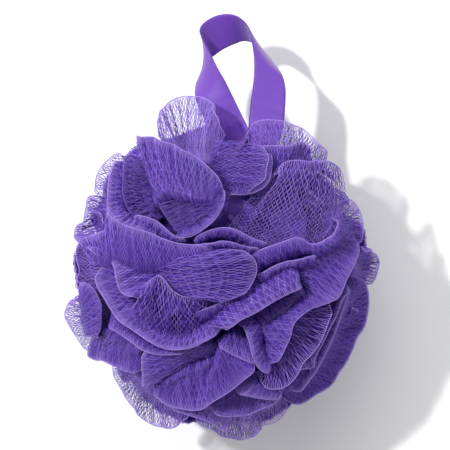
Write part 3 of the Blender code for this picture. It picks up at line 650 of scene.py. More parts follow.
leftNet = dict(
    leftSheer=dict(
        rim=[
            (-42, 49.5, 12), (-47, 46, 12), (-50.5, 42.5, 12), (-52.5, 38.5, 12), (-53, 34.5, 12),
            (-53.5, 30, 12),
        ],
        root=[(-35, 43.5, 15), (-37, 38, 15), (-39.5, 33, 15), (-42, 27.5, 15)],
        threads=True, pitch=0.85, row=1.4, radius=(0.16, 0.12), leastHighlight=0.35, gap=1.2,
    ),
    hookInside=dict(
        rim=[
            (-42, 48.5, 6), (-45.5, 43, 6), (-47, 36, 5), (-47.5, 29.5, 4), (-47, 24.5, 3), (-45, 21, 2),
            (-41.5, 18.5, 1), (-35, 16.5, 1), (-29, 14.5, 1),
        ],
        root=[
            (-40, 44.5, 12), (-42, 39.5, 12), (-42, 33.5, 12), (-42, 27.5, 11), (-40.5, 23.5, 9),
            (-37, 21, 8), (-32, 19, 8), (-27, 17, 8),
        ],
        bands=0.5,
    ),
    hookNet=dict(
        rim=[
            (-39, 49.5, 8), (-40.5, 44, 9), (-41, 38, 10), (-41, 31.5, 10), (-39.5, 26, 10), (-36.5, 22.5, 9),
            (-31.5, 19.5, 8),
        ],
        root=[
            (-30, 45.5, 17), (-29, 40, 17), (-28, 34, 17), (-26.5, 29.5, 17), (-25.5, 26, 16),
            (-23.5, 22.5, 15),
        ],
        threads=True, pitch=0.8, row=1.6, radius=(0.16, 0.12), gap=1.4, backShade=0.8, paintedShade=0.25, bands=1,
        rimThread=(0.1, 0.1),
    ),
    hookOutside=dict(
        rim=[
            (-47, 30.5, 4), (-47, 24.5, 3), (-45, 21, 2), (-41.5, 18.5, 1), (-35, 16.5, 0), (-29, 14.5, 0),
            (-24, 12.5, 0), (-17.5, 10.5, 1), (-8.5, 9.5, 2), (0.5, 7.5, 4),
        ],
        root=[
            (-53.5, 4, 10), (-44.5, 2, 9), (-36.5, 0, 9), (-28, -1, 9), (-19.5, -1.5, 10), (-10.5, -1.5, 12),
            (-2.5, 2.5, 12),
        ],
        bands=0.5,
    ),
    smallCurl=dict(
        rim=[
            (-38, 20.5, 5), (-35, 22, 4), (-31, 21.5, 3), (-26.5, 19.5, 3), (-23, 16.5, 3), (-19, 13.5, 3),
            (-15.5, 12.5, 3),
        ],
        root=[(-35, 15, 12), (-30, 14, 12), (-25, 12, 12), (-19.5, 10.5, 12)],
    ),
    leftLobe=dict(
        rim=[
            (-52, 30, 12), (-56, 29.5, 14), (-57, 25, 14), (-58, 19.5, 13), (-61, 16.5, 13), (-62, 14, 13),
            (-60.5, 11, 12), (-54.5, 7.5, 10), (-50, 3.5, 8),
        ],
        root=[(-46, 28.5, 14), (-45, 23.5, 12), (-44.5, 18.5, 10), (-43, 12, 10)],
        threads=True, pitch=0.62, row=1.7, radius=(0.17, 0.11),
    ),
    leftRay=dict(
        rim=[(-60, 12, 10), (-55, 13.5, 8), (-50.5, 15, 6), (-45.5, 17, 4)],
        root=[(-54.5, 2.5, 13), (-49.5, 2.5, 12), (-43.5, 2.5, 11)],
    ),
    leftSmooth=dict(
        rim=[(-46.5, 4.5, 5), (-44.5, 0.5, 4), (-43.5, -4.5, 4), (-42, -9, 4), (-39, -11, 4), (-35, -12, 5)],
        root=[(-37, 5.5, 9), (-31, 2.5, 9), (-27, -1, 9), (-27.5, -4, 9), (-30, -7, 9), (-31.5, -10, 9)],
    ),
    leftLong=dict(
        rim=[
            (-52.5, 2.5, 8), (-53, -1.5, 7), (-52, -6.5, 6), (-49.5, -11, 5), (-46.5, -16, 4), (-42, -22, 3),
            (-35.5, -26, 1), (-31.5, -29, 0), (-27, -31.5, 0), (-23, -33, 0), (-18.5, -33.5, 0),
            (-13, -32.5, 0), (-6, -29.5, 0), (-1, -26.5, 0), (3.5, -24, 0),
        ],
        root=[
            (-43.5, 2.5, 13), (-42, -3.5, 13), (-41, -8.5, 12), (-37.5, -13.5, 11), (-33, -18.5, 9),
            (-29, -22.5, 7), (-26, -25.5, 6), (-21, -28, 5), (-14.5, -28, 5), (-8.5, -25, 5), (-3, -22.5, 5),
            (2, -19, 5),
        ],
        bands=0.55,
    ),
    leftLow=dict(
        rim=[
            (-57, -36.5, 12), (-54, -38.5, 12), (-49.5, -39, 11), (-46, -40.5, 10), (-41, -42.5, 9),
            (-37, -43.5, 8), (-33, -44.5, 8),
        ],
        root=[(-53, -24, 15), (-49, -26, 14), (-43.5, -28.5, 13), (-38.5, -31, 12), (-33, -34.5, 12)],
    ),
    leftArch=dict(
        rim=[
            (-60.5, -9, 12), (-59.5, -6.5, 12), (-57, -6, 11), (-54.5, -7.5, 10), (-52, -11, 9),
            (-50, -15.5, 8), (-50, -21, 8), (-50.5, -25.5, 9), (-53, -30, 10),
        ],
        root=[(-58, -12, 15), (-58, -17, 16), (-58, -22, 16), (-56.5, -27.5, 16)],
    ),
    leftEar=dict(
        rim=[
            (-61.5, -9, 14), (-62, -13.5, 14), (-65, -15.5, 14), (-66.5, -20, 14), (-65.5, -22.5, 14),
            (-64, -25.5, 14), (-60.5, -31, 14), (-58, -34.5, 14), (-57, -37.5, 13),
        ],
        root=[(-53.5, -10, 15), (-53.5, -14.5, 15), (-53.5, -19.5, 15), (-52.5, -24.5, 15), (-50, -29.5, 15)],
        threads=True, pitch=0.7, row=1.7, radius=(0.15, 0.1), leastHighlight=0.35, gap=1.2,
    ),
    leftEdge=dict(
        rim=[
            (-60.5, 11, 13), (-61, 6.5, 13), (-60.5, 2.5, 13), (-59.5, -1, 13), (-60.5, -4, 13),
            (-60.5, -8, 13),
        ],
        root=[(-53, 9.5, 15), (-52.5, 4, 15), (-52, -1, 15), (-52, -6.5, 15)],
        threads=True, pitch=0.8, row=1.6, radius=(0.12, 0.1), leastHighlight=0.7, gap=1.2,
    ),
    underLong=dict(
        rim=[
            (-49, -24.5, 5), (-45, -25.5, 5), (-38, -30, 4), (-32, -34, 3), (-26, -35.5, 3), (-20, -35.5, 4),
            (-13, -35, 5),
        ],
        root=[
            (-46, -17.5, 11), (-40.5, -23, 11), (-34, -27.5, 11), (-28, -31, 11), (-21, -33, 11),
            (-14, -31.5, 11),
        ],
    ),
)
middleNet = dict(
    band1=dict(
        rim=[
            (-12, 12.5, 3), (-8, 14.5, 2), (-4.5, 16, 2), (0.5, 17, 1), (5, 16.5, 1), (8.5, 15, 2),
            (12, 13, 2), (16, 11.5, 3), (21, 10.5, 4),
        ],
        root=[(-10.5, 9, 12), (-4.5, 12, 12), (1.5, 13, 12), (6, 12, 12), (12, 9, 12), (18, 7.5, 12)],
    ),
    band2=dict(
        rim=[
            (-15, 10.5, 3), (-9, 10, 2), (-4, 10.5, 1), (0, 11.5, 1), (4.5, 11, 1), (9, 9.5, 2), (13.5, 9, 3),
            (17, 9, 5),
        ],
        root=[(-10.5, 7.5, 12), (-4, 8, 12), (2.5, 8, 12), (9, 7, 12), (14.5, 6.5, 12)],
    ),
    tongue=dict(
        rim=[
            (0, 6.5, 1), (5, 8, -1), (9, 7.5, -2), (12, 5.5, -2), (14, 3, -2), (14.5, -1, -2), (13, -5, -2),
            (10.5, -9, -2), (6.5, -11.5, -1), (2, -13, 0), (-3, -12, 1),
        ],
        root=[
            (-19, 3, 6), (-22.5, 1.5, 6), (-26, -0.5, 6), (-25.5, -2.5, 6), (-21.5, -5.5, 6), (-16.5, -9, 6),
            (-11.5, -11.5, 6),
        ],
        threads=True, pitch=0.66, row=1.9, radius=(0.17, 0.12), backShade=0.7, bands=0.8, paintedShade=0.22,
    ),
    lowNet=dict(
        rim=[
            (-31.5, -8.5, 2), (-30, -5.5, 1), (-27.5, -3, 0), (-25, -3, 0), (-23, -5, 1), (-20.5, -8.5, 2),
            (-16.5, -11, 3), (-12, -12, 4), (-7, -13.5, 5),
        ],
        root=[
            (-40, -21, 9), (-33.5, -26, 9), (-26, -28.5, 9), (-18.5, -29, 9), (-11, -27.5, 10),
            (-5, -23.5, 12),
        ],
        threads=True, pitch=0.85, row=1.6, radius=(0.17, 0.12), gap=1.2, backShade=0.7, bands=0.6,
    ),
    hollowLine=dict(
        rim=[(-10.5, -18.5, 6), (-8, -17, 5), (-4, -15.5, 4), (0.5, -13.5, 4), (5, -12.5, 4)],
        root=[(-9, -22.5, 14), (-2.5, -20, 14), (3.5, -16, 14)],
    ),
    flapBand=dict(
        rim=[
            (0, -25.5, -1), (4.5, -23.5, -2), (8, -21, -2), (14, -18, -2), (20.5, -14, -2), (27, -10.5, -2),
            (32, -8.5, -1), (35, -8, 0),
        ],
        root=[
            (-7, -24.5, 5), (-1.5, -20, 4), (3.5, -16, 4), (8, -12.5, 4), (12.5, -9, 4), (17.5, -6.5, 4),
            (22.5, -4, 4), (28, 0, 4), (32, -1, 5),
        ],
        bands=1,
    ),
    rightRing=dict(
        rim=[
            (13, 6.5, 2), (17.5, 8.5, 1), (23.5, 10.5, 1), (29, 12.5, 1), (32, 13, 1), (34.5, 12, 2),
            (36.5, 10.5, 3), (40, 10.5, 3), (43, 12, 3), (46.5, 14.5, 4), (48.5, 18.5, 4), (49.5, 22.5, 5),
        ],
        root=[
            (16.5, -1.5, 9), (18.5, 0.5, 9), (22, 2.5, 9), (27, 4, 9), (31.5, 5.5, 9), (37, 6, 9),
            (42, 6.5, 9), (46.5, 8.5, 9), (49.5, 11.5, 9), (51, 14.5, 9), (51, 17.5, 9), (50, 21.5, 9),
        ],
    ),
    rightRing2=dict(
        rim=[(16, -3, 2), (19.5, 0, 1), (22.5, 1.5, 1), (27, 3, 1), (31.5, 4, 2), (37, 5, 3), (41, 5.5, 4)],
        root=[(16.5, -6.5, 9), (21, -3.5, 9), (26, -0.5, 9), (29.5, 0.5, 9), (34, 1.5, 9), (39, 3.5, 9)],
    ),
    rightDeep=dict(
        rim=[(36.5, -9, 8), (31, -13.5, 8), (24.5, -19, 8), (18.5, -25, 9), (15.5, -29.5, 10)],
        root=[(29.5, -9, 16), (23, -12.5, 16), (17, -16, 16), (12, -19.5, 16)],
    ),
    uFold=dict(
        rim=[
            (6, -23, 7), (9, -24, 5), (10.5, -27.5, 4), (12, -32.5, 3), (13, -36.5, 2), (15, -40.5, 2),
            (18, -43, 2), (21, -41.5, 3),
        ],
        root=[
            (12, -20, 13), (15.5, -23, 13), (16.5, -28, 13), (18, -32.5, 13), (19, -36, 12),
            (20.5, -38.5, 11),
        ],
    ),
    hollowWall=dict(
        rim=[(-1.5, -32, 3), (3, -34.5, 3), (8, -37, 3), (14.5, -40, 2)],
        root=[(2.5, -26.5, 15), (6, -24.5, 17), (10.5, -25, 17)],
    ),
    hollowPetal=dict(
        rim=[
            (15, -40.5, 2), (13, -43, 2), (10.5, -45, 2), (8, -47, 2), (5, -49.5, 2), (1, -52.5, 2),
            (-4, -55.5, 3), (-8, -57.5, 5),
        ],
        root=[
            (9, -37, 6), (5.5, -35.5, 6), (2.5, -34, 5), (0, -32.5, 5), (-1, -37, 6), (-2.5, -42, 7),
            (-4, -47, 8), (-6.5, -51.5, 9),
        ],
    ),
)
rightNet = dict(
    rightSheet=dict(
        rim=[
            (58.5, 14.5, 6), (58, 9, 5), (56, 3, 4), (52.5, -3.5, 3), (50.5, -8.5, 2), (48, -12.5, 1),
            (43.5, -14.5, 0), (38, -16, 0), (33.5, -19, 0), (30, -22.5, 0), (28.5, -28, 1), (26, -33.5, 1),
            (23.5, -38.5, 2), (19.5, -42.5, 3),
        ],
        root=[
            (55, 14.5, 10), (48, 10.5, 9), (41.5, 6, 8), (34.5, 0, 8), (35, -5, 8), (36.5, -9, 8),
            (33, -13, 8), (28.5, -17, 8), (24.5, -20, 8), (21, -23, 8), (18.5, -26.5, 9), (18.5, -31, 10),
            (18, -35.5, 10), (17, -39.5, 10),
        ],
        bands=0.7,
    ),
    stripeFold=dict(
        rim=[
            (48, -14, 4), (45.5, -19.5, 4), (43.5, -24.5, 3), (41.5, -29.5, 3), (39.5, -33, 3), (37, -36, 3),
            (34, -39, 3), (31.5, -44, 3), (27.5, -48.5, 4), (23.5, -50, 4), (18.5, -49.5, 5), (15, -46, 6),
        ],
        root=[
            (39, -16, 10), (34, -19.5, 10), (31, -23, 10), (29, -28, 10), (27, -33.5, 10), (25, -38, 10),
            (21.5, -42, 10), (18.5, -43.5, 10), (16, -42.5, 10),
        ],
        threads=True, pitch=0.9, row=2.4, radius=(0.2, 0.12), backShade=0.8, swing=0.3, bands=0.9,
    ),
    darkStrip=dict(
        rim=[
            (54, -6, 8), (52, -10, 7), (50, -14.5, 7), (48, -19, 7), (44.5, -26, 7), (41.5, -32.5, 7),
            (39.5, -36, 6), (38.5, -41, 6), (34, -42, 6), (31.5, -45, 7),
        ],
        root=[
            (49, -13.5, 13), (47, -17.5, 13), (44, -24, 13), (40.5, -30, 13), (36.5, -35.5, 13),
            (33, -39.5, 13),
        ],
        threads=True, pitch=0.8, row=2.2, radius=(0.18, 0.12), backShade=0.8,
    ),
    rightOuter=dict(
        rim=[
            (55, -2.5, 12), (59.5, -5, 12), (61.5, -9, 12), (62, -13.5, 12), (61.5, -18.5, 12),
            (60.5, -24, 12), (57, -29.5, 12), (55, -34.5, 12), (52.5, -40, 12), (49.5, -44, 12),
            (47, -48.5, 12), (44, -51, 12), (40, -53, 12), (35.5, -56, 12), (30.5, -58, 12), (27, -57.5, 12),
        ],
        root=[
            (54, -6.5, 15), (51, -13.5, 15), (48.5, -19.5, 15), (45.5, -26, 15), (42, -32.5, 15),
            (39.5, -38, 15), (36.5, -42, 15), (33, -45.5, 15), (29, -49, 15), (24.5, -51, 15),
        ],
        bands=0.4,
    ),
    rightInner=dict(
        rim=[
            (55, -5, 10), (54, -8.5, 9), (51.5, -15, 9), (49, -22, 9), (45.5, -31.5, 9), (40.5, -41, 9),
            (34.5, -50, 10), (29, -54.5, 11),
        ],
        root=[
            (51.5, -9, 17), (48.5, -15.5, 17), (45.5, -22, 17), (42, -30, 17), (37, -38.5, 17),
            (31.5, -47, 17),
        ],
    ),
    rightLobe=dict(
        rim=[
            (58.5, 12.5, 11), (60, 8, 10), (63.5, 6.5, 11), (66.5, 3.5, 11), (66.5, 0.5, 11), (64.5, -5, 11),
            (61.5, -7.5, 11),
        ],
        root=[(54, 10.5, 13), (54, 6, 13), (54, 1, 13), (54, -4, 13)],
        threads=True, pitch=0.66, row=1.7, radius=(0.17, 0.11),
    ),
    rightShoulder=dict(
        rim=[
            (52, 29.5, 10), (55, 28, 10), (57, 25.5, 10), (58.5, 22.5, 10), (59.5, 18, 10), (59, 13.5, 10),
            (58, 9, 10),
        ],
        root=[(46.5, 25, 14), (48, 21, 14), (49.5, 17, 14), (50, 12, 14)],
        threads=True, pitch=0.66, row=1.7, radius=(0.16, 0.11), leastHighlight=0.15,
    ),
)
lowerNet = dict(
    cornerPiece=dict(
        rim=[(-33, -34.5, 3), (-33, -39.5, 2), (-33, -45, 2), (-33, -50.5, 2)],
        root=[(-12.5, -30.5, 8), (-8, -31.5, 9), (-3.5, -32, 10), (0.5, -32, 11)],
        bands=0.5,
    ),
    bottomLeft=dict(
        rim=[
            (-49.5, -39, 14), (-46, -44, 14), (-43.5, -48.5, 14), (-41, -53, 14), (-39, -56.5, 14),
            (-36, -60.5, 14), (-34, -63.5, 14), (-31, -65.5, 14), (-28, -67, 14), (-24, -67.5, 14),
            (-21, -67.5, 14), (-18.5, -66, 14), (-14, -62.5, 14), (-11.5, -60, 13),
        ],
        root=[
            (-37.5, -39.5, 15), (-34, -44.5, 15), (-30.5, -49, 15), (-26.5, -52, 15), (-22.5, -54, 15),
            (-18.5, -54.5, 15), (-14, -55, 15),
        ],
        threads=True, pitch=0.66, row=1.7, radius=(0.14, 0.1), leastHighlight=0.45, gap=1.2,
    ),
    lowFold=dict(
        rim=[
            (-30, -52, 8), (-26.5, -54, 7), (-23.5, -56.5, 6), (-19.5, -58, 6), (-16, -58.5, 6),
            (-12, -59, 6), (-8, -58.5, 6), (-5.5, -56.5, 6), (-3, -53.5, 6),
        ],
        root=[
            (-26, -48, 12), (-21, -46, 12), (-15.5, -43.5, 12), (-10.5, -41.5, 12), (-6, -39.5, 12),
            (-3, -37.5, 12),
        ],
    ),
    thinLines=dict(
        rim=[
            (-23, -58, 10), (-17.5, -60, 9), (-13, -61.5, 9), (-8.5, -63, 9), (-3.5, -65, 9), (0, -67.5, 10),
            (3.5, -69.5, 10),
        ],
        root=[(-19.5, -54.5, 15), (-13, -56.5, 15), (-7, -57.5, 15), (-0.5, -59, 15), (4.5, -61, 15)],
        threads=True, pitch=0.8, row=1.7, radius=(0.14, 0.1), leastHighlight=0.3,
    ),
    bottomLobe=dict(
        rim=[
            (-13, -62, 14), (-8.5, -66, 14), (-4, -68, 14), (0, -70.5, 14), (3.5, -72, 14), (8, -73, 14),
            (12, -72, 14), (14.5, -71, 14), (16, -68.5, 14), (18, -65.5, 13),
        ],
        root=[(-9, -55.5, 15), (-4, -57, 15), (1, -59, 15), (6, -59.5, 15), (10.5, -60, 15), (14, -59, 15)],
        threads=True, pitch=0.66, row=1.7, radius=(0.15, 0.1), leastHighlight=0.4, gap=1.2,
    ),
    bottomSheer=dict(
        rim=[
            (15, -68.5, 15), (18, -66, 15), (21, -65.5, 15), (23.5, -64.5, 15), (25.5, -62.5, 15),
            (27, -60.5, 15), (28.5, -57.5, 14),
        ],
        root=[(13.5, -57.5, 16), (17, -56.5, 16), (20.5, -55, 16), (24, -53.5, 16)],
        threads=True, pitch=0.95, row=1.8, radius=(0.11, 0.09), leastHighlight=0.9, gap=1.2,
    ),
    lowOpen=dict(
        rim=[
            (-5.5, -59.5, 9), (0, -61.5, 8), (5.5, -61.5, 8), (11, -61, 8), (15.5, -59, 8), (20.5, -57, 8),
            (25.5, -54.5, 8),
        ],
        root=[
            (-0.5, -54, 13), (5, -50.5, 13), (9, -47.5, 13), (13, -45.5, 13), (17, -48.5, 13),
            (21.5, -50.5, 13),
        ],
        threads=True, pitch=0.8, row=1.8, radius=(0.17, 0.12), backShade=0.7,
    ),
    lowBand=dict(
        rim=[(5, -51.5, 6), (11, -53, 5), (17, -54, 5), (23, -54.5, 5), (26.5, -51.5, 6)],
        root=[(11, -45.5, 10), (15, -47, 10), (18.5, -49.5, 10), (23.5, -50.5, 10), (27, -48.5, 10)],
    ),
)
seenNets = dict(topNet=topNet, leftNet=leftNet, middleNet=middleNet, rightNet=rightNet, lowerNet=lowerNet)
for name, folds in seenNets.items():
    netPiece(name, [readyFold(fold, True) for fold in folds.values()])


# The folds of the sides and the underside, and those pressed inside the ball
# Folds under the ribbon's foot lie lower and further in, so that its two strands show
ribbonFoot = dict(side=0.85, drop=14.0, pull=0.11)


# Folds round points of a spiral over the ball. Each rim is a line of the stated
# length, turned by tilt sin(2.3 k) for fold k, that waves as A sin(2 pi w u + 1.9 k);
# its root is a shorter line nearer the middle. Folds near the widest level reach
# least, so that they stay under those seen from above, and the lowest ones are let
# down until they touch the floor.
def spiralFolds(numbers):
    found = []
    spread = np.linspace(-0.5, 0.5, 9)[:, None]
    count = numbers["count"]
    for index in range(count):
        height = numbers["top"] + (numbers["bottom"] - numbers["top"]) * (index + 0.5) / count
        turn = index * math.pi * (3 - math.sqrt(5)) + numbers["turn"]
        level = math.sqrt(1 - height**2)
        outward = np.array([level * math.cos(turn), level * math.sin(turn), height])
        east = np.array([-math.sin(turn), math.cos(turn), 0.0])
        north = np.cross(outward, east)
        tilt = math.radians(numbers["tilt"]) * math.sin(2.3 * index)
        along = math.cos(tilt) * east + math.sin(tilt) * north
        aside = math.cos(tilt) * north - math.sin(tilt) * east
        lean = numbers["asideShift"] if index % 2 else -numbers["asideShift"]
        wave = numbers["waveHeight"] * np.sin(spread * 2 * math.pi * numbers["waves"] + 1.9 * index)
        rim = outward * ball["halves"] + spread * numbers["rimLength"] * along + (wave + lean) * aside
        root = outward * ball["halves"] + spread * numbers["rootLength"] * along - lean * aside
        underRibbon = outward[1] > ribbonFoot["side"]
        reach = numbers["reach"][index % len(numbers["reach"])]
        reach = min(reach, numbers["sideReach"] + numbers["reachGain"] * max(0.0, -height))
        rim = pullTo(rim, reach - ribbonFoot["pull"] * underRibbon) + ball["middle"]
        root = pullTo(root, numbers["rootReach"]) + ball["middle"]
        if height < numbers["standsBelow"]:
            rim[:, 2] -= rim[:, 2].min()
        rim[:, 2] = np.maximum(rim[:, 2] - ribbonFoot["drop"] * underRibbon, numbers["lowestRim"])
        fold = dict(rimLine=evenCurve(rim), rootLine=evenCurve(root))
        fold["threads"] = index % 3 == numbers["threadTurn"]
        fold["cover"] = numbers["cover"]
        found.append(readyFold(fold, False, **numbers["net"]))
    return found


outerNet = dict(
    count=36, top=0.16, bottom=-0.98, turn=0.0, tilt=55, asideShift=9.0, waveHeight=8.0, waves=1.2,
    rimLength=58.0, rootLength=34.0, reach=(1.0, 0.91, 0.96), sideReach=0.84, rootReach=0.6,
    threadTurn=1, cover=True, reachGain=0.25, standsBelow=-0.75, lowestRim=0.3, sideFolds=19,
    net=dict(
        endDrop=2.0, pitch=1.05, row=2.9, radius=(0.24, 0.14), open=0.9, rimRadius=0.45, pleat=0.5,
        skinFine=1.4,
    ),
)
# The inner folds are painted darker, as shade inside the ball.
innerNet = dict(
    count=42, top=0.97, bottom=-0.75, turn=1.9, tilt=80, asideShift=8.0, waveHeight=9.0, waves=1.3,
    rimLength=62.0, rootLength=36.0, reach=(0.80, 0.72, 0.76), sideReach=0.8, rootReach=0.5,
    threadTurn=-1, cover=False, reachGain=0.25, standsBelow=-1.0, lowestRim=0.3,
    net=dict(endDrop=2.0, pitch=1.0, row=2.6, fine=2.2, open=0.7, paintedShade=0.7, rimRadius=0.6, rimThread=None),
)
outerFolds = spiralFolds(outerNet)
netPiece("sideNet", outerFolds[: outerNet["sideFolds"]])
netPiece("underNet", outerFolds[outerNet["sideFolds"] :])
netPiece("innerNet", spiralFolds(innerNet))


# The tightly gathered net round the knot
# The net round the knot is painted nearly all in the painted shade colour.
heartNumbers = dict(
    halves=(37.0, 42.0, 34.0), pleats=34, pleatDepth=1.6, rings=44, sides=204,
    meshes=(26, 14), open=0.8, paintedShade=0.95, own=0.5,
)


# A ball of pleats that meet at its two ends on the waist's line: at turn f and
# polar angle p its reach is 1 + (d sin(n f + 2 sin 3p) + d/2 sin(17 f + 5p)) sin p / half.
def heartPiece(numbers):
    polar = np.linspace(0, np.pi, numbers["rings"] + 1)[1:-1, None]
    turn = np.linspace(0, 2 * np.pi, numbers["sides"], endpoint=False)[None]
    pleat = np.sin(numbers["pleats"] * turn + 2 * np.sin(3 * polar)) + 0.5 * np.sin(17 * turn + 5 * polar)
    across = np.sin(polar)
    reach = 1 + numbers["pleatDepth"] / numbers["halves"][0] * pleat * across
    out = np.stack([across * np.cos(turn), np.cos(polar) + 0 * turn, -across * np.sin(turn)], axis=-1)
    grid = ball["middle"] + out * reach[..., None] * numbers["halves"]
    poles = ball["middle"] + np.array([[0, numbers["halves"][1], 0], [0, -numbers["halves"][1], 0]])
    rings, sides = grid.shape[:2]
    number = np.arange(rings * sides).reshape(rings, sides)
    after = np.roll(number, -1, axis=1)
    quads = np.stack([number[:-1], number[1:], after[1:], after[:-1]], axis=-1).reshape(-1, 4)
    first, last = rings * sides, rings * sides + 1
    tips = np.concatenate([
        np.stack([np.full(sides, first), number[0], after[0]], axis=-1),
        np.stack([np.full(sides, last), after[-1], number[-1]], axis=-1),
    ])
    shares = np.arange(1, rings) / (rings + 1), np.arange(sides) / sides
    share = np.stack(np.meshgrid(*shares, indexing="ij"), axis=-1)
    corners = np.array([[0, 0], [1, 0], [1, 1], [0, 1]]) / [rings + 1, sides]
    tipShare = np.concatenate([
        np.stack([np.full(sides, edge), np.arange(sides) / sides], axis=-1)
        for edge in (0.0, 1 - 1 / (rings + 1))
    ])
    tipMap = tipShare[:, None] + np.array([[0.5, 0.5], [1, 0], [1, 1]]) / [rings + 1, sides]
    points = np.concatenate([grid.reshape(-1, 3), poles])
    yarn = np.tile([0.0, numbers["paintedShade"], numbers["own"]], (len(points), 1))
    around, along = numbers["meshes"]
    knit = np.stack(np.broadcast_arrays(turn * around, polar * along, numbers["open"]), axis=-1)
    knit = np.concatenate([knit.reshape(-1, 3), np.zeros((2, 3))])
    piece = newPiece(
        "heartNet", points, quads, tips, netThreads, (share[:, :, None] + corners).reshape(-1, 2),
        tipMap.reshape(-1, 2), dict(yarn=yarn, knit=knit),
    )
    placeNet(piece, 2 * len(quads) + len(tips))


heartPiece(heartNumbers)


# The ribbon
ribbonNumbers = dict(
    width=15.0, thick=0.35, cup=0.12, steps=9, across=13, endAside=1.2, overhang=3.0, flat=(0.015, 0.242),
    # points on its two edges: right of the middle, along the ball and up, in millimetres
    edges=[
        ((0.5, 28.0, 62.5), (-0.5, 28.0, 48.0)),
        ((6, 46.0, 58.0), (3, 46.0, 43.5)),
        ((10.6, 54.0, 52.0), (5, 51.0, 38.5)),
        ((11.1, 58.4, 48.0), (0.2, 53.8, 39.5)),
        ((9, 63.0, 46.5), (-4, 58.0, 43.0)),
        ((5.2, 70.6, 46.0), (-7.8, 65.1, 44.5)),
        ((1.9, 77.3, 46.0), (-10.5, 71.8, 42.0)),
        ((-1.5, 84.0, 46.0), (-10.9, 76.9, 37.0)),
        ((-4.8, 90.7, 45.0), (-9.5, 81.1, 34.6)),
        ((-7.8, 96.6, 43.0), (-7.4, 85.5, 33.0)),
        ((-9.2, 100.2, 40.5), (-4.4, 89.0, 31.6)),
        ((-8.2, 103.1, 38.0), (-2.3, 90.7, 31.8)),
        ((-5.2, 105.5, 36.5), (0.2, 92.5, 31.3)),
        ((-1.5, 107.1, 36.5), (3.2, 94.1, 30.6)),
        ((2.7, 107.5, 37.5), (6.1, 95.4, 29.4)),
        ((6.5, 106.5, 39.5), (9.2, 96.4, 28.8)),
        ((9.7, 104.0, 41.5), (12.8, 95.8, 29.4)),
        ((11.8, 100.8, 43.5), (17.4, 92.4, 32.4)),
        ((12.8, 96.0, 45.0), (22, 86.9, 37.4)),
        ((13.6, 89.9, 46.0), (25.8, 81.1, 44.0)),
        ((13.7, 83.2, 46.3), (27.1, 76.0, 45.5)),
        ((13.2, 76.9, 46.3), (27.2, 71.0, 46.0)),
        ((12.4, 70.6, 46.0), (26.8, 66.4, 46.5)),
        ((11.8, 64.3, 46.0), (26.2, 60.9, 47.0)),
        ((11.4, 58.0, 46.5), (24.2, 54.4, 52.5)),
        ((10.6, 49.0, 47.0), (17.5, 46.5, 60.0)),
        ((7.4, 30.0, 47.8), (8.6, 29.5, 62.6)),
    ],
)


# Satin: violet that shifts to magenta where it is seen aslant, with a fine weave
# of ribs across it, and a firmer, slightly darker woven edge at each side.
def ribbonMaterial():
    look = dict(
        face=(0.145, 0.05, 0.41, 1), slant=(0.185, 0.053, 0.39, 1), edge=(0.106, 0.034, 0.32, 1),
        ribs=1400.0, warps=210.0, facing=0.35, cloudScale=40.0, specular=0.3, sheen=0.25, stretch=0.5,
        bump=(0.25, 0.00012),
    )
    material, tool, shader = newMaterial("ribbonSatin")
    place = tool.out("ShaderNodeUVMap", dict(uv_map="weave"))
    split = tool.node("ShaderNodeSeparateXYZ", _0=place)
    across, along = (Value(tool.tree, split.outputs[number]) for number in range(2))
    rib = tool.math("SINE", along * look["ribs"])
    warp = tool.math("SINE", across * look["warps"])
    fromMiddle = tool.math("ABSOLUTE", across - 0.5)
    edge = (fromMiddle * 40.0 - 18.4).clamp()
    facing = tool.out("ShaderNodeLayerWeight", output=1, Blend=look["facing"])
    shade = facing.mix(look["face"], look["slant"])
    shade = (edge * 0.5).mix(shade, look["edge"])
    spot = tool.out("ShaderNodeTexCoord", output=3)
    cloud = tool.out("ShaderNodeTexNoise", Vector=spot, Scale=look["cloudScale"])
    link((cloud * 0.5).mix(shade, look["face"]), shader.inputs["Base Color"])
    link(rib * 0.03 + warp * 0.03 + edge * 0.15 + 0.5, shader.inputs["Roughness"])
    shader.inputs["Specular IOR Level"].default_value = look["specular"]
    shader.inputs["Sheen Weight"].default_value = look["sheen"]
    shader.inputs["Anisotropic"].default_value = look["stretch"]
    height = rib * 0.5 + warp * 0.4 + edge * 1.2
    bump = tool.out("ShaderNodeBump", Height=height, Strength=look["bump"][0], Distance=look["bump"][1])
    link(bump, shader.inputs["Normal"])
    return material


# The ribbon's middle line with the direction across it, through the stations, and
# its two faces half a thickness apart: closed round both edges and both ends.
def ribbonSurface(numbers):
    edges = np.array(numbers["edges"], float)
    middle, half = ball["middle"][2], numbers["width"] / 2
    aside, reach = numbers["endAside"], numbers["overhang"]
    left = [[[-aside, y, middle + half], [-aside, y, middle - half]] for y in (-reach, reach)]
    right = [[[aside, y, middle - half], [aside, y, middle + half]] for y in (reach, -reach)]
    edges = np.concatenate([left, edges, right])
    first, second = (smoothKnots(edges[:, side], numbers["steps"]) for side in range(2))
    line = (first + second) / 2
    across = unit(second - first)
    along = unit(np.gradient(line, axis=0))
    upward = unit(np.cross(along, across))
    share = np.linspace(-1, 1, numbers["across"])
    cup = numbers["cup"] * (share**2 - 0.4)
    face = line[:, None] + across[:, None] * (share * half)[:, None] + upward[:, None] * cup[:, None]
    return face, upward


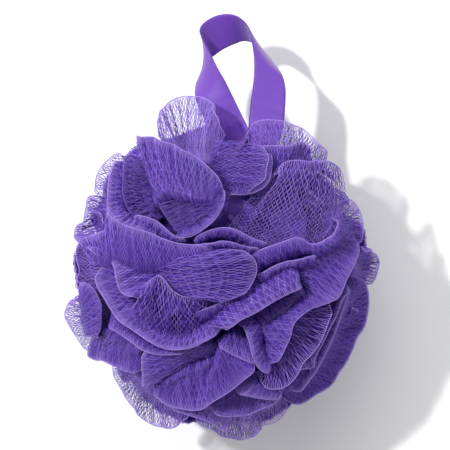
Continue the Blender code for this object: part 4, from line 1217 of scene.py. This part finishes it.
# The two faces as one closed band, with a map in which x runs from 0 to 1 across it
# and y is the way along it in metres, for the weave.
def ribbonPiece(numbers):
    face, upward = ribbonSurface(numbers)
    rows, columns = face.shape[:2]
    half = numbers["thick"] / 2
    rings = np.concatenate([face + upward[:, None] * half, (face - upward[:, None] * half)[:, ::-1]], axis=1)
    points = rings.reshape(-1, 3)
    around = 2 * columns
    number = np.arange(rows * around).reshape(rows, around)
    here, there = number[:-1], number[1:]
    quads = np.stack([here, there, np.roll(there, -1, axis=1), np.roll(here, -1, axis=1)], axis=-1)
    inner = np.arange(columns - 1)
    ends = []
    for ring, turned in ((number[0], False), (number[-1], True)):
        back = ring[::-1]
        cap = np.stack([ring[inner], ring[inner + 1], back[inner + 1], back[inner]], axis=-1)
        ends.append(cap[:, ::-1] if turned else cap)
    quads = np.concatenate([quads.reshape(-1, 4), *ends])
    piece = newPiece("ribbonLoop", points, quads, np.zeros((0, 3), int), ribbonMaterial())
    share = np.concatenate([np.linspace(0, 1, columns), np.linspace(1, 0, columns)])
    travelled = np.linalg.norm(np.diff(face[:, columns // 2], axis=0), axis=1)
    travelled = np.concatenate([[0], np.cumsum(travelled)]) / 1000
    weave = np.stack(np.broadcast_arrays(share, travelled[:, None]), axis=-1).reshape(-1, 2)
    corners = np.empty(len(piece.data.loops), np.int32)
    piece.data.loops.foreach_get("vertex_index", corners)
    layer = piece.data.uv_layers.new(name="weave")
    layer.data.foreach_set("uv", weave[corners].astype(np.float32).reshape(-1))
    print(f"ribbon: {travelled[-1]:.3f} m long")
    standFor(piece, "ribbon_loop")


ribbonPiece(ribbonNumbers)


# The cord round the waist
cordNumbers = dict(path=9.46, strand=0.72, offset=0.76, strands=3, twists=11, steps=240, sides=6)


# Dull violet yarn, painted darker by a fine noise, as shade in the grooves.
def cordMaterial():
    look = dict(grooveShade=(0.06, 0.03, 0.2, 1), yarn=(0.14, 0.08, 0.4, 1), cloudScale=900.0)
    material, tool, shader = newMaterial("cordYarn")
    place = tool.out("ShaderNodeTexCoord", output=3)
    cloud = tool.out("ShaderNodeTexNoise", Vector=place, Scale=look["cloudScale"], Detail=2.0)
    link(cloud.mix(look["grooveShade"], look["yarn"]), shader.inputs["Base Color"])
    link(cloud * 0.2 + 0.6, shader.inputs["Roughness"])
    return material


# Three strands that wind round a ring: strand k is at angle (twists * a + k/3) of
# a turn about the ring's own line, where a runs once round the ball's long axis.
def cordPiece(numbers):
    a = np.linspace(0, 2 * np.pi, numbers["steps"], endpoint=False)
    k = np.arange(numbers["strands"])[:, None]
    wind = numbers["twists"] * a[None] + 2 * np.pi * k / numbers["strands"]
    radial = np.stack([np.sin(a), np.zeros_like(a), np.cos(a)], axis=-1)[None]
    axial = np.array([0.0, 1.0, 0.0])
    out = numbers["path"] + numbers["offset"] * np.cos(wind)
    line = ball["middle"] + radial * out[..., None] + axial * (numbers["offset"] * np.sin(wind))[..., None]
    heading = unit(np.roll(line, -1, axis=1) - np.roll(line, 1, axis=1))
    side = unit(np.cross(heading, axial))
    other = np.cross(heading, side)
    angle = 2 * np.pi * np.arange(numbers["sides"]) / numbers["sides"]
    ring = np.cos(angle)[:, None] * side[:, :, None] + np.sin(angle)[:, None] * other[:, :, None]
    points = (line[:, :, None] + numbers["strand"] * ring).reshape(-1, 3)
    number = np.arange(len(points)).reshape(numbers["strands"], numbers["steps"], numbers["sides"])
    there = np.roll(number, -1, axis=1)
    quads = np.stack([number, np.roll(number, -1, axis=2), np.roll(there, -1, axis=2), there], axis=-1)
    piece = newPiece("tieCord", points, quads.reshape(-1, 4), np.zeros((0, 3), int), cordMaterial())
    standFor(piece, "tie_cord")
    print("cord: three twisted strands round the waist")


cordPiece(cordNumbers)


# Floor, light and camera
# Matt white, lit and shadowed as paper is.
def floorMaterial():
    material, tool, shader = newMaterial("floorPaper")
    place = tool.out("ShaderNodeTexCoord", output=3)
    cloud = tool.out("ShaderNodeTexNoise", Vector=place, Scale=3.0)
    link(cloud.mix((0.97, 0.97, 0.97, 1), (0.95, 0.95, 0.95, 1)), shader.inputs["Base Color"])
    shader.inputs["Roughness"].default_value = 0.9
    shader.inputs["Specular IOR Level"].default_value = 0.1
    return material


stageNumbers = dict(
    floor=3.0, floorDepth=-0.0002, distance=2.2, width=0.189, middle=(0.00147, 0.01806), ballHeight=0.06,
    world=0.55,
    # strength, width, height and compass angle in degrees of each lamp
    lamps=dict(key=(2.4, 3.0, 56.0, 151.0), fill=(0.95, 50.0, 43.0, 98.0)),
)


# The floor, a lamp at each height and compass angle, a white world, and the camera
# straight above: its lens is 36 mm times distance over the width that it sees.
def makeStage(numbers):
    corners = np.array([[-1, -1, 0], [1, -1, 0], [1, 1, 0], [-1, 1, 0]]) * numbers["floor"]
    mesh = bpy.data.meshes.new("floor")
    mesh.from_pydata((corners + [0, 0, numbers["floorDepth"]]).tolist(), [], [(0, 1, 2, 3)])
    mesh.materials.append(floorMaterial())
    floor = bpy.data.objects.new("floor", mesh)
    bpy.context.scene.collection.objects.link(floor)
    floor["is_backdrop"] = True
    for name, (strength, width, height, compass) in numbers["lamps"].items():
        lamp = bpy.data.lights.new(name, "SUN")
        lamp.energy = strength
        lamp.angle = math.radians(width)
        held = bpy.data.objects.new(name, lamp)
        held.rotation_euler = (math.radians(90 - height), 0, math.radians(compass + 90))
        bpy.context.scene.collection.objects.link(held)
    world = bpy.data.worlds.new("softLight")
    world.use_nodes = True
    # white where the camera, gloss or glass sees it, and the light's own strength else
    sky = Value(world.node_tree, None)
    paths = sky.node("ShaderNodeLightPath")
    rays = ("Is Camera Ray", "Is Glossy Ray", "Is Transmission Ray")
    direct, glossy, through = (Value(sky.tree, paths.outputs[name]) for name in rays)
    dim = sky.out("ShaderNodeBackground", Color=(1, 1, 1, 1), Strength=numbers["world"])
    white = sky.out("ShaderNodeBackground", Color=(1, 1, 1, 1), Strength=1.0)
    both = sky.out("ShaderNodeMixShader", _0=(direct + glossy + through).clamp(), _1=dim, _2=white)
    link(both, sky.tree.nodes["World Output"].inputs["Surface"])
    bpy.context.scene.world = world
    camera = bpy.data.cameras.new("camera")
    camera.sensor_width = 36
    camera.lens = 36 * numbers["distance"] / numbers["width"]
    camera.clip_end = 20
    eye = bpy.data.objects.new("camera", camera)
    eye.location = (*numbers["middle"], numbers["distance"] + numbers["ballHeight"])
    bpy.context.scene.collection.objects.link(eye)
    bpy.context.scene.camera = eye
    print("floor, two lamps and the camera")


makeStage(stageNumbers)
bpy.context.scene.view_settings.view_transform = "Standard"

lastLow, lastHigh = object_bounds()
boxes += [list(lastLow), list(lastHigh)]
print("box", [round(1000 * float(v), 1) for v in [*lastLow, *lastHigh]])
